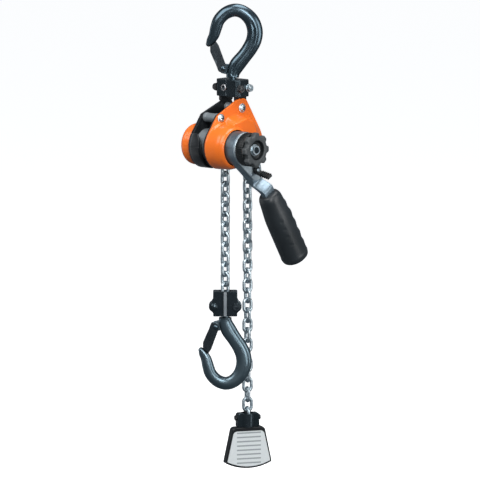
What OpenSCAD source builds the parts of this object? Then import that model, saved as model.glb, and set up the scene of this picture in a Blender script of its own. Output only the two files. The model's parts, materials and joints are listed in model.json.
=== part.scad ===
// Mini ratchet lever chain hoist, hanging freely from its top hook.
// Z is up. The origin is the seat in the bowl of the top hook.
// The shafts lie along Y, and the lever and hand wheel are on the -Y side.

/* [Chain] */
// Pitch of the load chain
chain_pitch = 12; // [11.9:0.05:12.1]
// Diameter of the chain's wire
chain_wire = 3.9; // [3.6:0.1:3.9]
// Outer width of a chain link
link_w = 13.7; // [13.5:0.1:13.8]
// Number of links that hang on the load side
load_links = 16; // [12:1:20]
// Number of links that hang on the slack side
slack_links = 28; // [22:1:36]

/* [Body] */
// Height of the two shafts below the top hook's seat
axis_drop = 150; // [148:1:154]
// Module of the gear pair
gear_m = 2; // [2:0.01:2]
// Teeth on the pinion
pinion_n = 17; // [17:1:17]
// Teeth on the load gear
gear_n = 25; // [25:1:25]
// Radius of the frame's outline around the drive shaft
outline_r1 = 27; // [26.5:0.5:28]
// Radius of the frame's outline around the sheave
outline_r2 = 29; // [28:0.5:30]

/* [Hooks] */
// Thickness of the hooks across their plane
hook_t = 14; // [12:0.5:15]
// Turn of the hooks about the vertical
hook_yaw = -47; // [-60:1:-30]

/* [Lever] */
// Angle of the lever from straight down
lever_angle = 30.8; // [20:0.1:40]
// Length of the lever from the drive shaft to its end
lever_len = 160; // [150:1:170]
// Width of the rubber grip
grip_w = 34; // [30:1:36]
// Thickness of the rubber grip
grip_t = 31; // [28:1:32]

/* [Tag] */
// Width of the end tag at its top
tag_top_w = 40; // [34:1:44]
// Width of the end tag at its bottom
tag_bottom_w = 60; // [50:1:64]
// Thickness of the end tag
tag_t = 12; // [8:1:14]
// Turn of the end tag about the vertical
tag_yaw = -30; // [-47:1:0]

/* [Hidden] */
$fn = 48;

eps = 0.01;
run = 0.08;                                        // radial clearance of a running fit

// Places of the shafts and the chain's two falls
pocket_n = 5;
link_turn = 180 / pocket_n;                        // turn of the chain from link to link
vertex_r = chain_pitch / (2 * sin(link_turn / 2));
link_r = vertex_r * cos(link_turn / 2);
flat_link_r = link_r - 0.85;
fall_x = -13;
sheave_x = fall_x + vertex_r;
slack_x = sheave_x + vertex_r;
centres = gear_m * (pinion_n + gear_n) / 2;
drive_x = sheave_x - centres;
axis_z = -axis_drop;

// Stations along the shafts
gear_y0 = 15;
gear_y1 = 26;
rear_cover_y = 30.5;
frame_y = 13;                                      // outer faces of the frame's plates
rear_plate_t = 4;
front_plate_t = 2;
skirt_y = -3;
flange_t = 2.5;
cover_y = -40.5;                                   // front face of the front cover
drum_y0 = -37;
head_y0 = -41.5;
head_y1 = -55.5;
cup_y0 = -56;
cup_y1 = -66;
star_y1 = -73;

// Radii
shaft_r = 5;
drum_r = 20.2;
disc_r = 21;
trunnion_r = 8;
hub_r = 21;
sheave_r = 20.7;
ring_r = chain_wire / 2;

// Hook
hook_x = 0;
shank_r = 4.5;
neck_h = 71;
top_shank_h = 92;
lower_shank_h = 82.5;
collar_h = 4.5;                                    // nut that carries a hook on its shank's end
lower_seat_z = -430;
latch_u = -11.5;                                   // latch pivot beside the shank
latch_h = 61;
latch_pin_r = 2;
latch_ear_r = 4.3;
lug_r = 5.4;
lug_t = 5.6;
latch_w = 12;                                      // over both cheeks of a latch
neck_blend = 25;                                   // height over which a hook's neck turns into its bowl
top_bowl = [1.03, 1.6];                            // stretch and shift of the top hook's bowl
lower_bowl = [0.96, -0.8];
block_top = -74;
block_bottom = -94;
block_bolt_x = 7.5;
block_bolt_z = -84;
block_y = 19;
lower_top = -326;
lower_bottom = -356;
lower_u = 14.5;
lower_y = 8.5;
lower_wing_u = 13.5;
lower_wing_z = -344.5;
lower_pin_z = axis_z - chain_pitch * (load_links - 0.5) - 3.9;   // inside the last link's lower end
lower_pin_r = 1.9;
lower_well_z = -346.2;                             // floor of the well for the chain's last link
lower_collar_z = -352.4;                           // floor of the room for the hook's collar
clamp_top = axis_z - chain_pitch * (slack_links - 1) - 4;
clamp_bottom = clamp_top - 17;
clamp_x = 13.5;
clamp_bolt_z = clamp_top - 5.9;
clamp_bolt_r = 1.6;
tag_bottom = clamp_bottom - 50;

// Screws of the front cover, which pass through the frame's spacers
screw_at = [[-37.1, -116.8], [-0.5, -107.4]];
spacer_r = 5.5;
screw_r = 2.5;

// Lever
grip_start = 64;
arm_w = 17;
arm_t = 7;
grip_y = -60;
pawl_r = 30;                                       // drive pawl's pin, from the shaft
rivet_at = [[-8, -31.5], [8, -31.5]];              // rivets of the lever's cover, from the shaft
rivet_r = 1.3;
wheel_tip_r = 15.2;

// ---------- helpers ----------

// Cylinder along Y between two stations
module ycyl(r, y0, y1, fn = 48) {
  translate([0, max(y0, y1), 0]) rotate([90, 0, 0]) cylinder(r = r, h = abs(y1 - y0), $fn = fn);
}

// Flat outline in XZ, extruded between two stations along Y
module yplate(y0, y1) {
  translate([0, max(y0, y1), 0]) rotate([90, 0, 0]) linear_extrude(height = abs(y1 - y0)) children();
}

module at_drive() { translate([drive_x, 0, axis_z]) children(); }
module at_sheave() { translate([sheave_x, 0, axis_z]) children(); }
module at_lever() { at_drive() rotate([0, -lever_angle, 0]) children(); }

// Smooth interpolation of a list of points
function spline_at(p, i, t) =
  let (n = len(p) - 1,
       a = p[max(i - 1, 0)], b = p[i], c = p[min(i + 1, n)], d = p[min(i + 2, n)])
  0.5 * ((2 * b) + (c - a) * t + (2 * a - 5 * b + 4 * c - d) * t * t + (3 * b - a - 3 * c + d) * t * t * t);
function spline(p, steps) =
  [for (i = [0:len(p) - 2]) for (k = [0:steps - 1]) spline_at(p, i, k / steps), p[len(p) - 1]];

function unit(v) = v / norm(v);

// Round bar along a path: one ring of points at each point of the path
module bar(path, r, sides, up) {
  n = len(path);
  rings = [for (i = [0:n - 1])
    let (t = unit(path[min(i + 1, n - 1)] - path[max(i - 1, 0)]),
         a = unit(cross(t, up)), b = cross(t, a))
    for (k = [0:sides - 1]) path[i] + r * (a * cos(360 * k / sides) + b * sin(360 * k / sides))];
  faces = concat(
    [[for (k = [0:sides - 1]) k]],
    [for (i = [0:n - 2]) for (k = [0:sides - 1]) each
      [[i * sides + k, (i + 1) * sides + k, (i + 1) * sides + (k + 1) % sides],
       [i * sides + k, (i + 1) * sides + (k + 1) % sides, i * sides + (k + 1) % sides]]],
    [[for (k = [sides - 1:-1:0]) (n - 1) * sides + k]]);
  polyhedron(points = rings, faces = faces, convexity = 4);
}

// Coil spring along Z
module coil(r, wire, length, turns) {
  steps = turns * 14;
  bar([for (i = [0:steps]) [r * cos(360 * turns * i / steps), r * sin(360 * turns * i / steps),
       length * i / steps]], wire / 2, 6, [0, 0, 1]);
}

// Torsion spring on the Y axis with two straight legs
module torsion_spring(r, wire, length, turns, leg, a0, a1) {
  steps = floor(turns * 14);
  total = 360 * turns + a1 - a0;
  function p(i) = let (a = a0 + total * i / steps) [r * cos(a), length * i / steps, r * sin(a)];
  start = p(0) + leg * [sin(a0), 0, -cos(a0)];
  end = p(steps) + leg * [-sin(a1), 0, cos(a1)];
  bar(concat([start], [for (i = [0:steps]) p(i)], [end]), wire / 2, 6, [0, 1, 0]);
}

// Involute spur gear in the XY plane, with a tooth on +X
module spur_gear(n, m, h) {
  rp = n * m / 2;
  rb = rp * cos(20);
  tip = rp + 0.93 * m;
  root = rp - 1.25 * m;
  r0 = max(rb, root + 0.2) + 0.01;
  function inv(r) = let (a = acos(rb / r)) tan(a) * 180 / PI - a;
  function half(r) = 90 / n - 0.35 * 90 / rp / PI + inv(rp) - inv(r);
  radii = [for (k = [0:4]) r0 + (tip - r0) * k / 4];
  tooth = concat(
    [[root, -half(r0)]],
    [for (r = radii) [r, -half(r)]],
    [for (k = [4:-1:0]) [radii[k], half(radii[k])]],
    [[root, half(r0)]]);
  linear_extrude(height = h)
    polygon([for (i = [0:n - 1]) for (q = tooth)
      [q[0] * cos(q[1] + 360 * i / n), q[0] * sin(q[1] + 360 * i / n)]]);
}

// Ratchet wheel in the XY plane, with teeth that lean one way
module ratchet(n, tip, root, h) {
  linear_extrude(height = h)
    polygon([for (i = [0:n - 1]) each [
      [tip * cos(360 * i / n), tip * sin(360 * i / n)],
      [root * cos(360 * (i + 0.12) / n), root * sin(360 * (i + 0.12) / n)]]]);
}

// ---------- chain ----------

// Link with its length along Z and its width along X
module link() {
  half_w = (link_w - chain_wire) / 2;
  end_z = chain_pitch / 2 + chain_wire / 2 + 0.025 - half_w;
  for (s = [-1, 1]) {
    translate([s * half_w, 0, -end_z - eps]) cylinder(d = chain_wire, h = 2 * end_z + 2 * eps, $fn = 24);
    translate([0, 0, s * end_z]) rotate([s * 90, 0, 0])
      rotate_extrude(angle = 180, $fn = 32) translate([half_w, 0]) circle(d = chain_wire, $fn = 24);
  }
}

// Straight fall of links under the shaft height; the first link stands in the sheave's plane
module fall(n) {
  for (i = [0:n - 1])
    translate([0, 0, axis_z - chain_pitch * (i + 0.5)]) rotate([0, 0, i % 2 == 0 ? 0 : 90]) link();
}

module load_chain() { color("silver") translate([fall_x, 0, 0]) fall(load_links); }
module slack_chain() { color("silver") translate([slack_x, 0, 0]) fall(slack_links); }

module sheave_chain() {
  color("silver") at_sheave()
    for (i = [0:pocket_n - 1]) {
      flat = i % 2 == 0;
      rotate([0, 90 - link_turn * (i + 0.5), 0])
        translate([0, 0, flat ? flat_link_r : link_r])
          rotate([0, 90, 0]) rotate([0, 0, flat ? 90 : 0]) link();
    }
}

// ---------- hooks ----------

// Points along a hook's centre line: across, along the shank from the seat, and width
hook_line = [
  [0, 71.6, 15], [0.5, 66, 16], [4.5, 57, 18.5], [12, 46.5, 17.5], [18.5, 37, 18], [23, 27, 18.5],
  [24, 16, 18.5], [20, 4, 17.5], [11, -5, 16], [1, -7.8, 15.5], [-9, -4.5, 15], [-17, 3.5, 14.5],
  [-20.5, 13, 14], [-23, 22, 12.5], [-27, 29, 10], [-29.5, 33, 6.5]
];
function side(p, s) =
  [for (i = [0:len(p) - 1])
    let (d = unit([for (k = [0:1]) p[min(i + 1, len(p) - 1)][k] - p[max(i - 1, 0)][k]]))
    [p[i][0] - s * d[1] * p[i][2] / 2, p[i][1] + s * d[0] * p[i][2] / 2]];
// The same line with its bowl widened and moved across, which leaves the neck where it is
function bowl_line(stretch, shift) =
  [for (p = hook_line)
    let (share = min(max((neck_h - p[1]) / neck_blend, 0), 1))
    [p[0] * (1 + (stretch - 1) * share) + shift * share, p[1], p[2]]];

// Hook in the XZ plane with its seat at the origin and its shank towards +Z
module hook_form(shank_end, stretch, shift) {
  path = spline(bowl_line(stretch, shift), 4);
  outer = side(path, 1);
  difference() {
    union() {
      yplate(-hook_t / 2, hook_t / 2)
        polygon(concat(side(path, -1), [for (i = [len(outer) - 1:-1:0]) outer[i]]));
      yplate(-lug_t / 2, lug_t / 2) union() {
        translate([latch_u, latch_h]) circle(r = lug_r);
        polygon([[latch_u, latch_h + 5.2], [0, latch_h + 9], [2, latch_h - 2], [latch_u + 3, latch_h - 4.4]]);
      }
      translate([0, 0, neck_h]) cylinder(r = shank_r, h = shank_end - neck_h);
    }
    translate([latch_u, 0, latch_h]) ycyl(latch_pin_r + run, -8, 8, 32);
  }
}

module hook_collar_form(h0, h1) {
  difference() {
    translate([0, 0, h0]) cylinder(r = 7.6, h = h1 - h0, $fn = 6);
    translate([0, 0, h0 - 1]) cylinder(r = shank_r, h = h1 - h0 + 2);
  }
}

// Latch: two ears on the pin and a strap that reaches the hook's nose
module latch_form() {
  difference() {
    union() {
      yplate(-latch_w / 2, latch_w / 2) polygon([
        [latch_u - 4.4, latch_h + 1], [latch_u + 3.4, latch_h - 3.2], [-16.6, 34.4], [-19.8, 29.8],
        [-22.6, 32.6], [-26.2, 35.6], [-26.4, 41], [latch_u - 11, latch_h - 11], [latch_u - 8.4, latch_h - 6]]);
      yplate(-latch_w / 2, latch_w / 2) translate([latch_u, latch_h]) circle(r = latch_ear_r);
    }
    yplate(-lug_t / 2 - 0.3, lug_t / 2 + 0.3) translate([latch_u, latch_h]) circle(r = 6.8);
    translate([latch_u, 0, latch_h]) ycyl(latch_pin_r, -8, 8, 32);
  }
}

module latch_pin_form() {
  translate([latch_u, 0, latch_h]) {
    ycyl(latch_pin_r, -6.8, 9.4, 32);
    ycyl(3, 9.3, 10, 32);
  }
}

module latch_spring_form() {
  translate([latch_u, 6.6, latch_h]) torsion_spring(3.1, 0.8, 2.2, 2, 5, 200, 330);
}

module at_top_hook() { translate([hook_x, 0, 0]) rotate([0, 0, hook_yaw]) mirror([0, 0, 1]) children(); }
module at_lower_hook() { translate([fall_x, 0, lower_seat_z]) rotate([0, 0, hook_yaw]) children(); }

module top_hook() { color("darkslategray") at_top_hook() hook_form(top_shank_h, top_bowl[0], top_bowl[1]); }
module top_hook_collar() { color("gray") at_top_hook() hook_collar_form(top_shank_h - collar_h, top_shank_h); }
module top_latch() { color("darkslategray") at_top_hook() latch_form(); }
module top_latch_pin() { color("gray") at_top_hook() latch_pin_form(); }
module top_latch_spring() { color("silver") at_top_hook() latch_spring_form(); }
module lower_hook() { color("darkslategray") at_lower_hook() hook_form(lower_shank_h, lower_bowl[0], lower_bowl[1]); }
module lower_hook_collar() { color("gray") at_lower_hook() hook_collar_form(lower_shank_h - collar_h, lower_shank_h - 0.1); }
module lower_latch() { color("darkslategray") at_lower_hook() latch_form(); }
module lower_latch_pin() { color("gray") at_lower_hook() latch_pin_form(); }
module lower_latch_spring() { color("silver") at_lower_hook() latch_spring_form(); }

// ---------- top block ----------

block_x = 12;                                      // half width of the block
block_bolt_r = 2.25;
lower_bolt_r = 2;
ear_gap = 0.15;
module top_block_half(s) {
  difference() {
    translate([-block_x, s > 0 ? 0 : -block_y, block_bottom])
      cube([2 * block_x, block_y, block_top - block_bottom]);
    translate([0, 0, block_bottom - 1]) cylinder(r = shank_r + run, h = 30);
    translate([0, 0, block_bottom - 1]) cylinder(r = 8, h = 8.3);
    for (x = [-block_bolt_x, block_bolt_x])
      translate([x, 0, block_bolt_z]) ycyl(block_bolt_r, -25, 25, 32);
    translate([-10.2, s > 0 ? 9 - ear_gap : -frame_y - ear_gap, block_bottom - 1])
      cube([20.4, (s > 0 ? rear_plate_t : front_plate_t) + 2 * ear_gap, 17.5]);
    for (c = [-1, 1])
      translate([c * block_x, s * block_y, block_bottom - 1]) rotate([0, 0, 45]) cube([7, 7, 50], center = true);
  }
}
module top_block_rear() { color([0.12, 0.13, 0.14]) top_block_half(1); }
module top_block_front() { color([0.12, 0.13, 0.14]) top_block_half(-1); }

// Bolt along Y with its head on the s side and its nut on the other
module block_bolt(s, y, r) {
  ycyl(r, -y - 4, y + 4, 32);
  ycyl(r * 1.95, s * y, s * (y + 4.2), 6);
}
module block_nut(s, y, r) {
  difference() {
    ycyl(r * 1.95, -s * y, -s * (y + 4), 6);
    ycyl(r, -y - 10, y + 10, 32);
  }
}
module top_block_bolts() {
  color("silver")
    for (s = [-1, 1]) translate([s * block_bolt_x, 0, block_bolt_z]) {
      block_bolt(s, block_y, block_bolt_r);
      block_nut(s, block_y, block_bolt_r);
    }
}

// ---------- frame ----------

// Outline of the frame and covers in the row's X and Z
module outline(grow = 0) {
  hull() {
    translate([drive_x, axis_z]) circle(r = outline_r1 + grow, $fn = 96);
    translate([sheave_x, axis_z]) circle(r = outline_r2 + grow, $fn = 96);
    translate([drive_x - 3, axis_z + 33]) circle(r = 5 + grow);
    translate([hook_x - 4.5, axis_z + 47]) circle(r = 7 + grow);
    translate([hook_x + 2.5, axis_z + 47]) circle(r = 7 + grow);
  }
}

module ear(y0, y1) {
  difference() {
    translate([-10, y0, block_bottom - 12]) cube([20, y1 - y0, 27]);
    translate([0, 0, block_bottom - 3]) cylinder(r = 8.4, h = 20);
    for (x = [-block_bolt_x, block_bolt_x])
      translate([x, 0, block_bolt_z]) ycyl(block_bolt_r, -25, 25, 32);
  }
}

module frame_holes() {
  at_drive() ycyl(8, -20, 20);
  at_sheave() ycyl(trunnion_r + 2, -20, 20);
  for (p = screw_at) translate([p[0], 0, p[1]]) ycyl(screw_r + 0.1, -20, 20, 32);
}

// Screws of the rear cover, in the two valleys beside the gears' mesh
rear_screw_at = [for (s = [-1, 1]) [drive_x + 18, axis_z + 22 * s]];
module frame_rear() {
  color([0.12, 0.13, 0.14]) {
    difference() {
      union() {
        yplate(frame_y - rear_plate_t, frame_y) outline();
        yplate(skirt_y, frame_y - rear_plate_t + eps) intersection() {
          difference() { outline(); outline(-3.5); }
          translate([drive_x - 40, axis_z - 40]) square([48, 61]);
        }
        ear(frame_y - rear_plate_t, frame_y);
      }
      frame_holes();
      for (p = rear_screw_at) translate([p[0], 0, p[1]]) ycyl(1.5, 0, 20, 24);
    }
  }
}
module frame_front() {
  color([0.12, 0.13, 0.14]) difference() {
    union() {
      yplate(-frame_y, -frame_y + front_plate_t) outline();
      ear(-frame_y, -frame_y + front_plate_t);
    }
    frame_holes();
    translate([brake_pin[0], 0, brake_pin[1]]) ycyl(2, -20, 20, 32);
  }
}
module frame_spacers() {
  color("silver") for (p = screw_at) translate([p[0], 0, p[1]]) difference() {
    ycyl(spacer_r, frame_y - rear_plate_t, -frame_y + front_plate_t);
    ycyl(screw_r, -20, 20, 32);
  }
}
module shaft_hub() {
  color("slategray") at_drive() difference() {
    ycyl(hub_r, frame_y - rear_plate_t, -frame_y + front_plate_t, 96);
    ycyl(hub_r - 3, 20, -8.5, 96);
    ycyl(8, -20, 20);
    translate([14.4, -20, -30]) cube([30, 40, 60]);
  }
}

module bush(y0, y1, r_in, r_out) {
  difference() { ycyl(r_out, y0, y1); ycyl(r_in, y0 - 1, y1 + 1); }
}
module drive_bushes() {
  color("goldenrod") at_drive() {
    bush(frame_y - rear_plate_t - 2, frame_y, shaft_r + run, 8);
    bush(-frame_y, -9, shaft_r + run, 8);
  }
}
module sheave_bushes() {
  color("goldenrod") at_sheave() {
    bush(frame_y - rear_plate_t, frame_y, trunnion_r + run, trunnion_r + 2);
    bush(-frame_y, -frame_y + front_plate_t, trunnion_r + run, trunnion_r + 2);
  }
}

// ---------- covers ----------

bulge_r = 26;
// Raised part of the front cover, which makes room for the brake pawl
module facet(grow = 0) {
  hull() {
    translate([drive_x, axis_z]) circle(r = 23 + grow);
    translate([drive_x + 36, axis_z + 26]) circle(r = 5 + grow);
    translate([drive_x + 48, axis_z + 14]) circle(r = 7 + grow);
    translate([drive_x + 44, axis_z - 6]) circle(r = 9 + grow);
  }
}
module cover_dome(r, y0, y1, round) {
  at_drive() translate([0, y0, 0]) rotate([90, 0, 0]) rotate_extrude($fn = 96) {
    difference() {
      square([r, y0 - y1]);
      translate([r - round, y0 - y1 - round]) square([round + 1, round + 1]);
    }
    translate([r - round, y0 - y1 - round]) circle(r = round);
  }
}
module front_cover() {
  color("darkorange") difference() {
    union() {
      yplate(-frame_y - flange_t, -frame_y) outline();
      cover_dome(bulge_r, -frame_y, cover_y, 7);
      yplate(-29, -frame_y) facet();
    }
    cover_dome(bulge_r - 2.2, -frame_y + 1, cover_y + 2.2, 5);
    yplate(-26.8, -frame_y + 1) facet(-2.2);
    at_drive() ycyl(21.5, -50, -20, 96);
    for (p = screw_at) translate([p[0], 0, p[1]]) ycyl(screw_r + 0.1, -20, 0, 32);
    at_sheave() ycyl(trunnion_r + 1, -20, 0);
  }
}
// Pan-head screws with a collar, from the front cover into the rear plate
module cover_screws() {
  color("silver") for (p = screw_at) translate([p[0], 0, p[1]]) difference() {
    union() {
      ycyl(screw_r, frame_y, -frame_y - flange_t);
      ycyl(5.6, -frame_y - flange_t, -frame_y - flange_t - 1.2);
      ycyl(4.2, -frame_y - flange_t - 1.2 + eps, -frame_y - flange_t - 3.4);
    }
    for (a = [20, 110]) rotate([0, a, 0])
      translate([0, -frame_y - flange_t - 3.4, 0]) cube([5, 2.4, 0.9], center = true);
  }
}

rear_lobe1 = 24.5;
rear_lobe2 = 28.8;
module rear_shape(grow = 0) {
  hull() {
    translate([drive_x, axis_z]) circle(r = rear_lobe1 + grow, $fn = 96);
    translate([sheave_x, axis_z]) circle(r = rear_lobe2 + grow, $fn = 96);
  }
}
module rear_cover() {
  color("darkorange") difference() {
    union() {
      yplate(frame_y, rear_cover_y - 4) rear_shape();
      yplate(rear_cover_y - 4 - eps, rear_cover_y - 1.6) rear_shape(-1.4);
      yplate(rear_cover_y - 1.6 - eps, rear_cover_y) rear_shape(-4);
    }
    difference() {
      yplate(frame_y - 1, rear_cover_y - 2.5) rear_shape(-1.5);
      for (p = rear_screw_at) translate([p[0], 0, p[1]]) ycyl(3.4, frame_y, 40, 32);
    }
    for (p = rear_screw_at) translate([p[0], 0, p[1]]) ycyl(1.6, 0, 40, 24);
  }
}
module rear_cover_screws() {
  color("silver") for (p = rear_screw_at) translate([p[0], 0, p[1]]) {
    ycyl(1.5, frame_y - rear_plate_t, rear_cover_y + eps, 24);
    ycyl(2.9, rear_cover_y, rear_cover_y + 1.8, 24);
  }
}

// ---------- gears, sheave and shafts ----------

module drive_shaft() {
  color("gray") at_drive() { ycyl(shaft_r, 27, -68); ycyl(3.5, -67.9, -72.4); }
}
module pinion() {
  color("gray") at_drive() difference() {
    translate([0, gear_y1, 0]) rotate([90, 0, 0]) spur_gear(pinion_n, gear_m, gear_y1 - gear_y0);
    ycyl(shaft_r, -80, 80);
  }
}
module load_gear() {
  color("gray") at_sheave() difference() {
    translate([0, gear_y1 - 0.5, 0]) rotate([90, 0, 0]) spur_gear(gear_n, gear_m, gear_y1 - gear_y0 - 1);
    ycyl(trunnion_r - 1, -80, 80);
  }
}
module load_sheave() {
  pocket_floor = flat_link_r - ring_r - 0.2;
  groove_floor = link_r - link_w / 2 - 0.3;
  color("dimgray") at_sheave() {
    difference() {
      ycyl(sheave_r, -8.5, 8.5, 96);
      difference() { ycyl(40, -2.4, 2.4); ycyl(groove_floor, -3, 3); }
      for (k = [0:pocket_n - 1]) rotate([0, 360 / pocket_n * k, 0])
        translate([-10.2, -7.1, pocket_floor]) cube([20.4, 14.2, 20]);
    }
    ycyl(trunnion_r, 8.4, frame_y + 1.4);
    ycyl(trunnion_r, -8.4, -frame_y - 0.5);
    ycyl(trunnion_r - 1, frame_y + 1.3, gear_y1);
  }
}

// Guide plate under the sheave, with a slot for each fall
module chain_guide() {
  color([0.2, 0.2, 0.22]) difference() {
    translate([sheave_x - 6, -frame_y + front_plate_t, axis_z - 27.4])
      cube([12, 2 * frame_y - rear_plate_t - front_plate_t, 3]);
    translate([sheave_x - 2.5, -2, axis_z - 30]) cube([5, 4, 10]);
  }
}
module chain_stripper() {
  color("gray") translate([sheave_x, 0, axis_z]) difference() {
    yplate(-1.8, 1.8) polygon([[-2.3, -27.5], [2.3, -27.5], [2.3, -24], [9.5, -18], [3, -13.2], [-3, -13.2],
      [-9.5, -18], [-2.3, -24]]);
    ycyl(12.2, -5, 5);
  }
}

// ---------- brake ----------

brake_teeth = 12;
brake_root_r = 18.2;
module disc(r, hole, y0, y1) { difference() { ycyl(r, y0, y1, 96); ycyl(hole, y0 + 1, y1 - 1); } }
module brake_hub() { color("gray") at_drive() disc(17, shaft_r, -15.5, -19.5); }
module brake_linings() {
  color("saddlebrown") at_drive() { disc(18, 9, -19.5, -21.5); disc(18, 9, -26, -28); }
}
module brake_ratchet_disc() {
  color("gray") at_drive() difference() {
    translate([0, -21.5, 0]) rotate([90, 0, 0]) ratchet(brake_teeth, disc_r, brake_root_r, 4.5);
    ycyl(9, -10, -40);
  }
}
module pressure_nut() {
  color("gray") at_drive() difference() {
    union() { ycyl(17, -28, -31.5, 96); ycyl(9, -31.4, -44.6); ycyl(7.5, -44.5, -53); }
    ycyl(shaft_r, -10, -60);
  }
}
// Pin of the brake pawl, and its tip just clear of the teeth's crests
brake_pin = [drive_x + 34, axis_z + 15];
module brake_pawl() {
  tip = (disc_r + 0.3) * [cos(48), sin(48)] + [drive_x, axis_z];
  color("gray") difference() {
    union() {
      translate([brake_pin[0], 0, brake_pin[1]]) ycyl(4, -26, -21.5);
      yplate(-26, -21.5)
        polygon([tip, tip + [1.6, 3.2], brake_pin + [-0.5, 3.9], brake_pin + [-1.5, -3.7], tip + [4, -1.2]]);
    }
    translate([brake_pin[0], 0, brake_pin[1]]) ycyl(2 + run, -40, 0, 32);
  }
}
module brake_pawl_pin() { color("gray") translate([brake_pin[0], 0, brake_pin[1]]) ycyl(2, -11, -26.4, 32); }
module brake_pawl_spring() {
  color("silver") translate([brake_pin[0], -21, brake_pin[1]]) torsion_spring(2.9, 0.7, 4.2, 3, 6, 60, 150);
}

// ---------- lever ----------

module head_shape(grow = 0) {
  hull() { circle(r = drum_r + grow, $fn = 96); translate([0, -35]) circle(r = 9 + grow); }
}
module lever_arm() {
  color("lightsteelblue") at_lever() difference() {
    union() {
      ycyl(drum_r - 0.3, drum_y0, head_y0 - 0.5, 96);
      yplate(head_y1 + 2, head_y0) head_shape();
      translate([-arm_w / 2, 0, 0]) rotate([90, 0, 90]) linear_extrude(height = arm_w)
        polygon([[head_y0, -36], [head_y0, -44.5], [grip_y + 3.5, -60], [grip_y + 3.5, -150],
                 [grip_y - 3.5, -150], [grip_y - 3.5, -58], [head_y1 + 2, -48], [head_y1 + 2, -36]]);
    }
    ycyl(drum_r - 2.2, -30, head_y0, 96);
    ycyl(9 + run, -60, -30);
    yplate(head_y1 - 1, head_y0 - 2.5) head_shape(-2.4);
    translate([0, 0, -pawl_r]) ycyl(2.5, -60, -40, 32);
    for (p = rivet_at) translate([p[0], 0, p[1]]) ycyl(rivet_r, -60, -40, 24);
  }
}
module lever_cover() {
  color("silver") at_lever() difference() {
    yplate(head_y1, head_y1 + 2) head_shape();
    ycyl(7.5 + run, -60, -50);
    translate([0, 0, -pawl_r]) ycyl(2.5, -60, -40, 32);
    for (p = rivet_at) translate([p[0], 0, p[1]]) ycyl(rivet_r, -60, -40, 24);
  }
}
module lever_cover_rivets() {
  color("silver") at_lever() for (p = rivet_at) translate([p[0], 0, p[1]]) {
    ycyl(rivet_r, head_y0, head_y1, 24);
    ycyl(rivet_r + 0.7, head_y1 + eps, head_y1 - 0.2, 24);
  }
}
module lever_grip() {
  color([0.1, 0.1, 0.11]) at_lever() difference() {
    hull() {
      translate([0, grip_y, -grip_start - 4]) scale([grip_w - 6, grip_t - 6, 8]) sphere(d = 1, $fn = 32);
      translate([0, grip_y, -grip_start - 40]) scale([grip_w, grip_t, 60]) sphere(d = 1, $fn = 32);
      translate([0, grip_y, -lever_len + 10]) scale([grip_w, grip_t, 20]) sphere(d = 1, $fn = 32);
    }
    translate([-arm_w / 2, grip_y - 3.5, -150]) cube([arm_w, 7, 120]);
  }
}
module lever_ratchet_wheel() {
  color("gray") at_drive() difference() {
    translate([0, -44.6, 0]) rotate([90, 0, 0]) ratchet(14, wheel_tip_r, 12.6, 8);
    ycyl(7.5, -40, -60);
  }
}
module drive_pawl() {
  color("gray") at_lever() translate([0, 0, -pawl_r]) difference() {
    union() {
      ycyl(4.6, -52.4, -45);
      yplate(-52.4, -45)
        polygon([[-4.4, -1], [4.4, -1], [8.6, 12.4], [7.3, 13.4], [1.2, 4.4], [-1.2, 4.4], [-7.3, 13.4], [-8.6, 12.4]]);
    }
    ycyl(2.5 - run, -60, -40, 32);
  }
}
module selector_pin() {
  color("silver") at_lever() translate([0, 0, -pawl_r]) ycyl(2.5 - run, -42, -61.6, 32);
}
// Thumb tab that reaches out in front of the hand wheel, with ribs across it
tab_y = -76;
tab_w = 7;
rib_w = 8.4;
module selector() {
  tab = [[head_y1 - 0.3, 3.4], [head_y1 - 0.3, -4.6], [-62, -6.4], [tab_y, -10], [tab_y, -7.2], [-63, -3.4],
         [head_y1 - 4.4, -2], [head_y1 - 4.4, 3.4]];
  color([0.1, 0.1, 0.11]) at_lever() translate([0, 0, -pawl_r]) difference() {
    union() {
      ycyl(4.3, head_y1 - 0.3, head_y1 - 4.4);
      translate([-tab_w / 2, 0, 0]) rotate([90, 0, 90]) linear_extrude(height = tab_w) polygon(tab);
      for (k = [0:4]) translate([-rib_w / 2, -64.2 - 2.6 * k, -7.2 - 0.72 * k]) cube([rib_w, 1.3, 4.2]);
    }
    ycyl(2.5 - run, -70, -40, 32);
  }
}
module detent_spring() {
  color("silver") at_lever() translate([0, -48.7, -pawl_r - 10.6]) coil(1.6, 0.7, 4.5, 4);
}

// ---------- hand wheel ----------

module hand_wheel_cup() {
  color([0.1, 0.1, 0.11]) at_drive() difference() {
    union() {
      ycyl(19.4, cup_y0, cup_y1, 96);
      for (k = [0:23]) rotate([0, 15 * k, 0]) translate([0, 0, 19.2]) ycyl(0.6, cup_y0 - 1, cup_y1, 12);
    }
    ycyl(shaft_r, -50, -80);
  }
}
module hand_wheel() {
  color([0.25, 0.27, 0.28]) at_drive() difference() {
    union() {
      ycyl(17.8, cup_y1, star_y1, 96);
      for (k = [0:7]) rotate([0, 45 * k, 0]) translate([0, 0, 17]) ycyl(3.8, cup_y1, star_y1, 32);
    }
    for (k = [0:7]) rotate([0, 45 * k + 22.5, 0]) translate([0, 0, 20.8]) ycyl(4.6, cup_y1 + 1, star_y1 - 1, 32);
    ycyl(11.5, -68, -80);
    ycyl(shaft_r, -50, -80);
  }
}
module hand_wheel_nut() {
  color("silver") at_drive() difference() {
    union() { ycyl(6.3, -68, -71.6, 6); ycyl(7, -68, -68.9); }
    ycyl(shaft_r, -60, -68);
    ycyl(3.5, -60, -80);
  }
}

// ---------- lower block ----------

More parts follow.
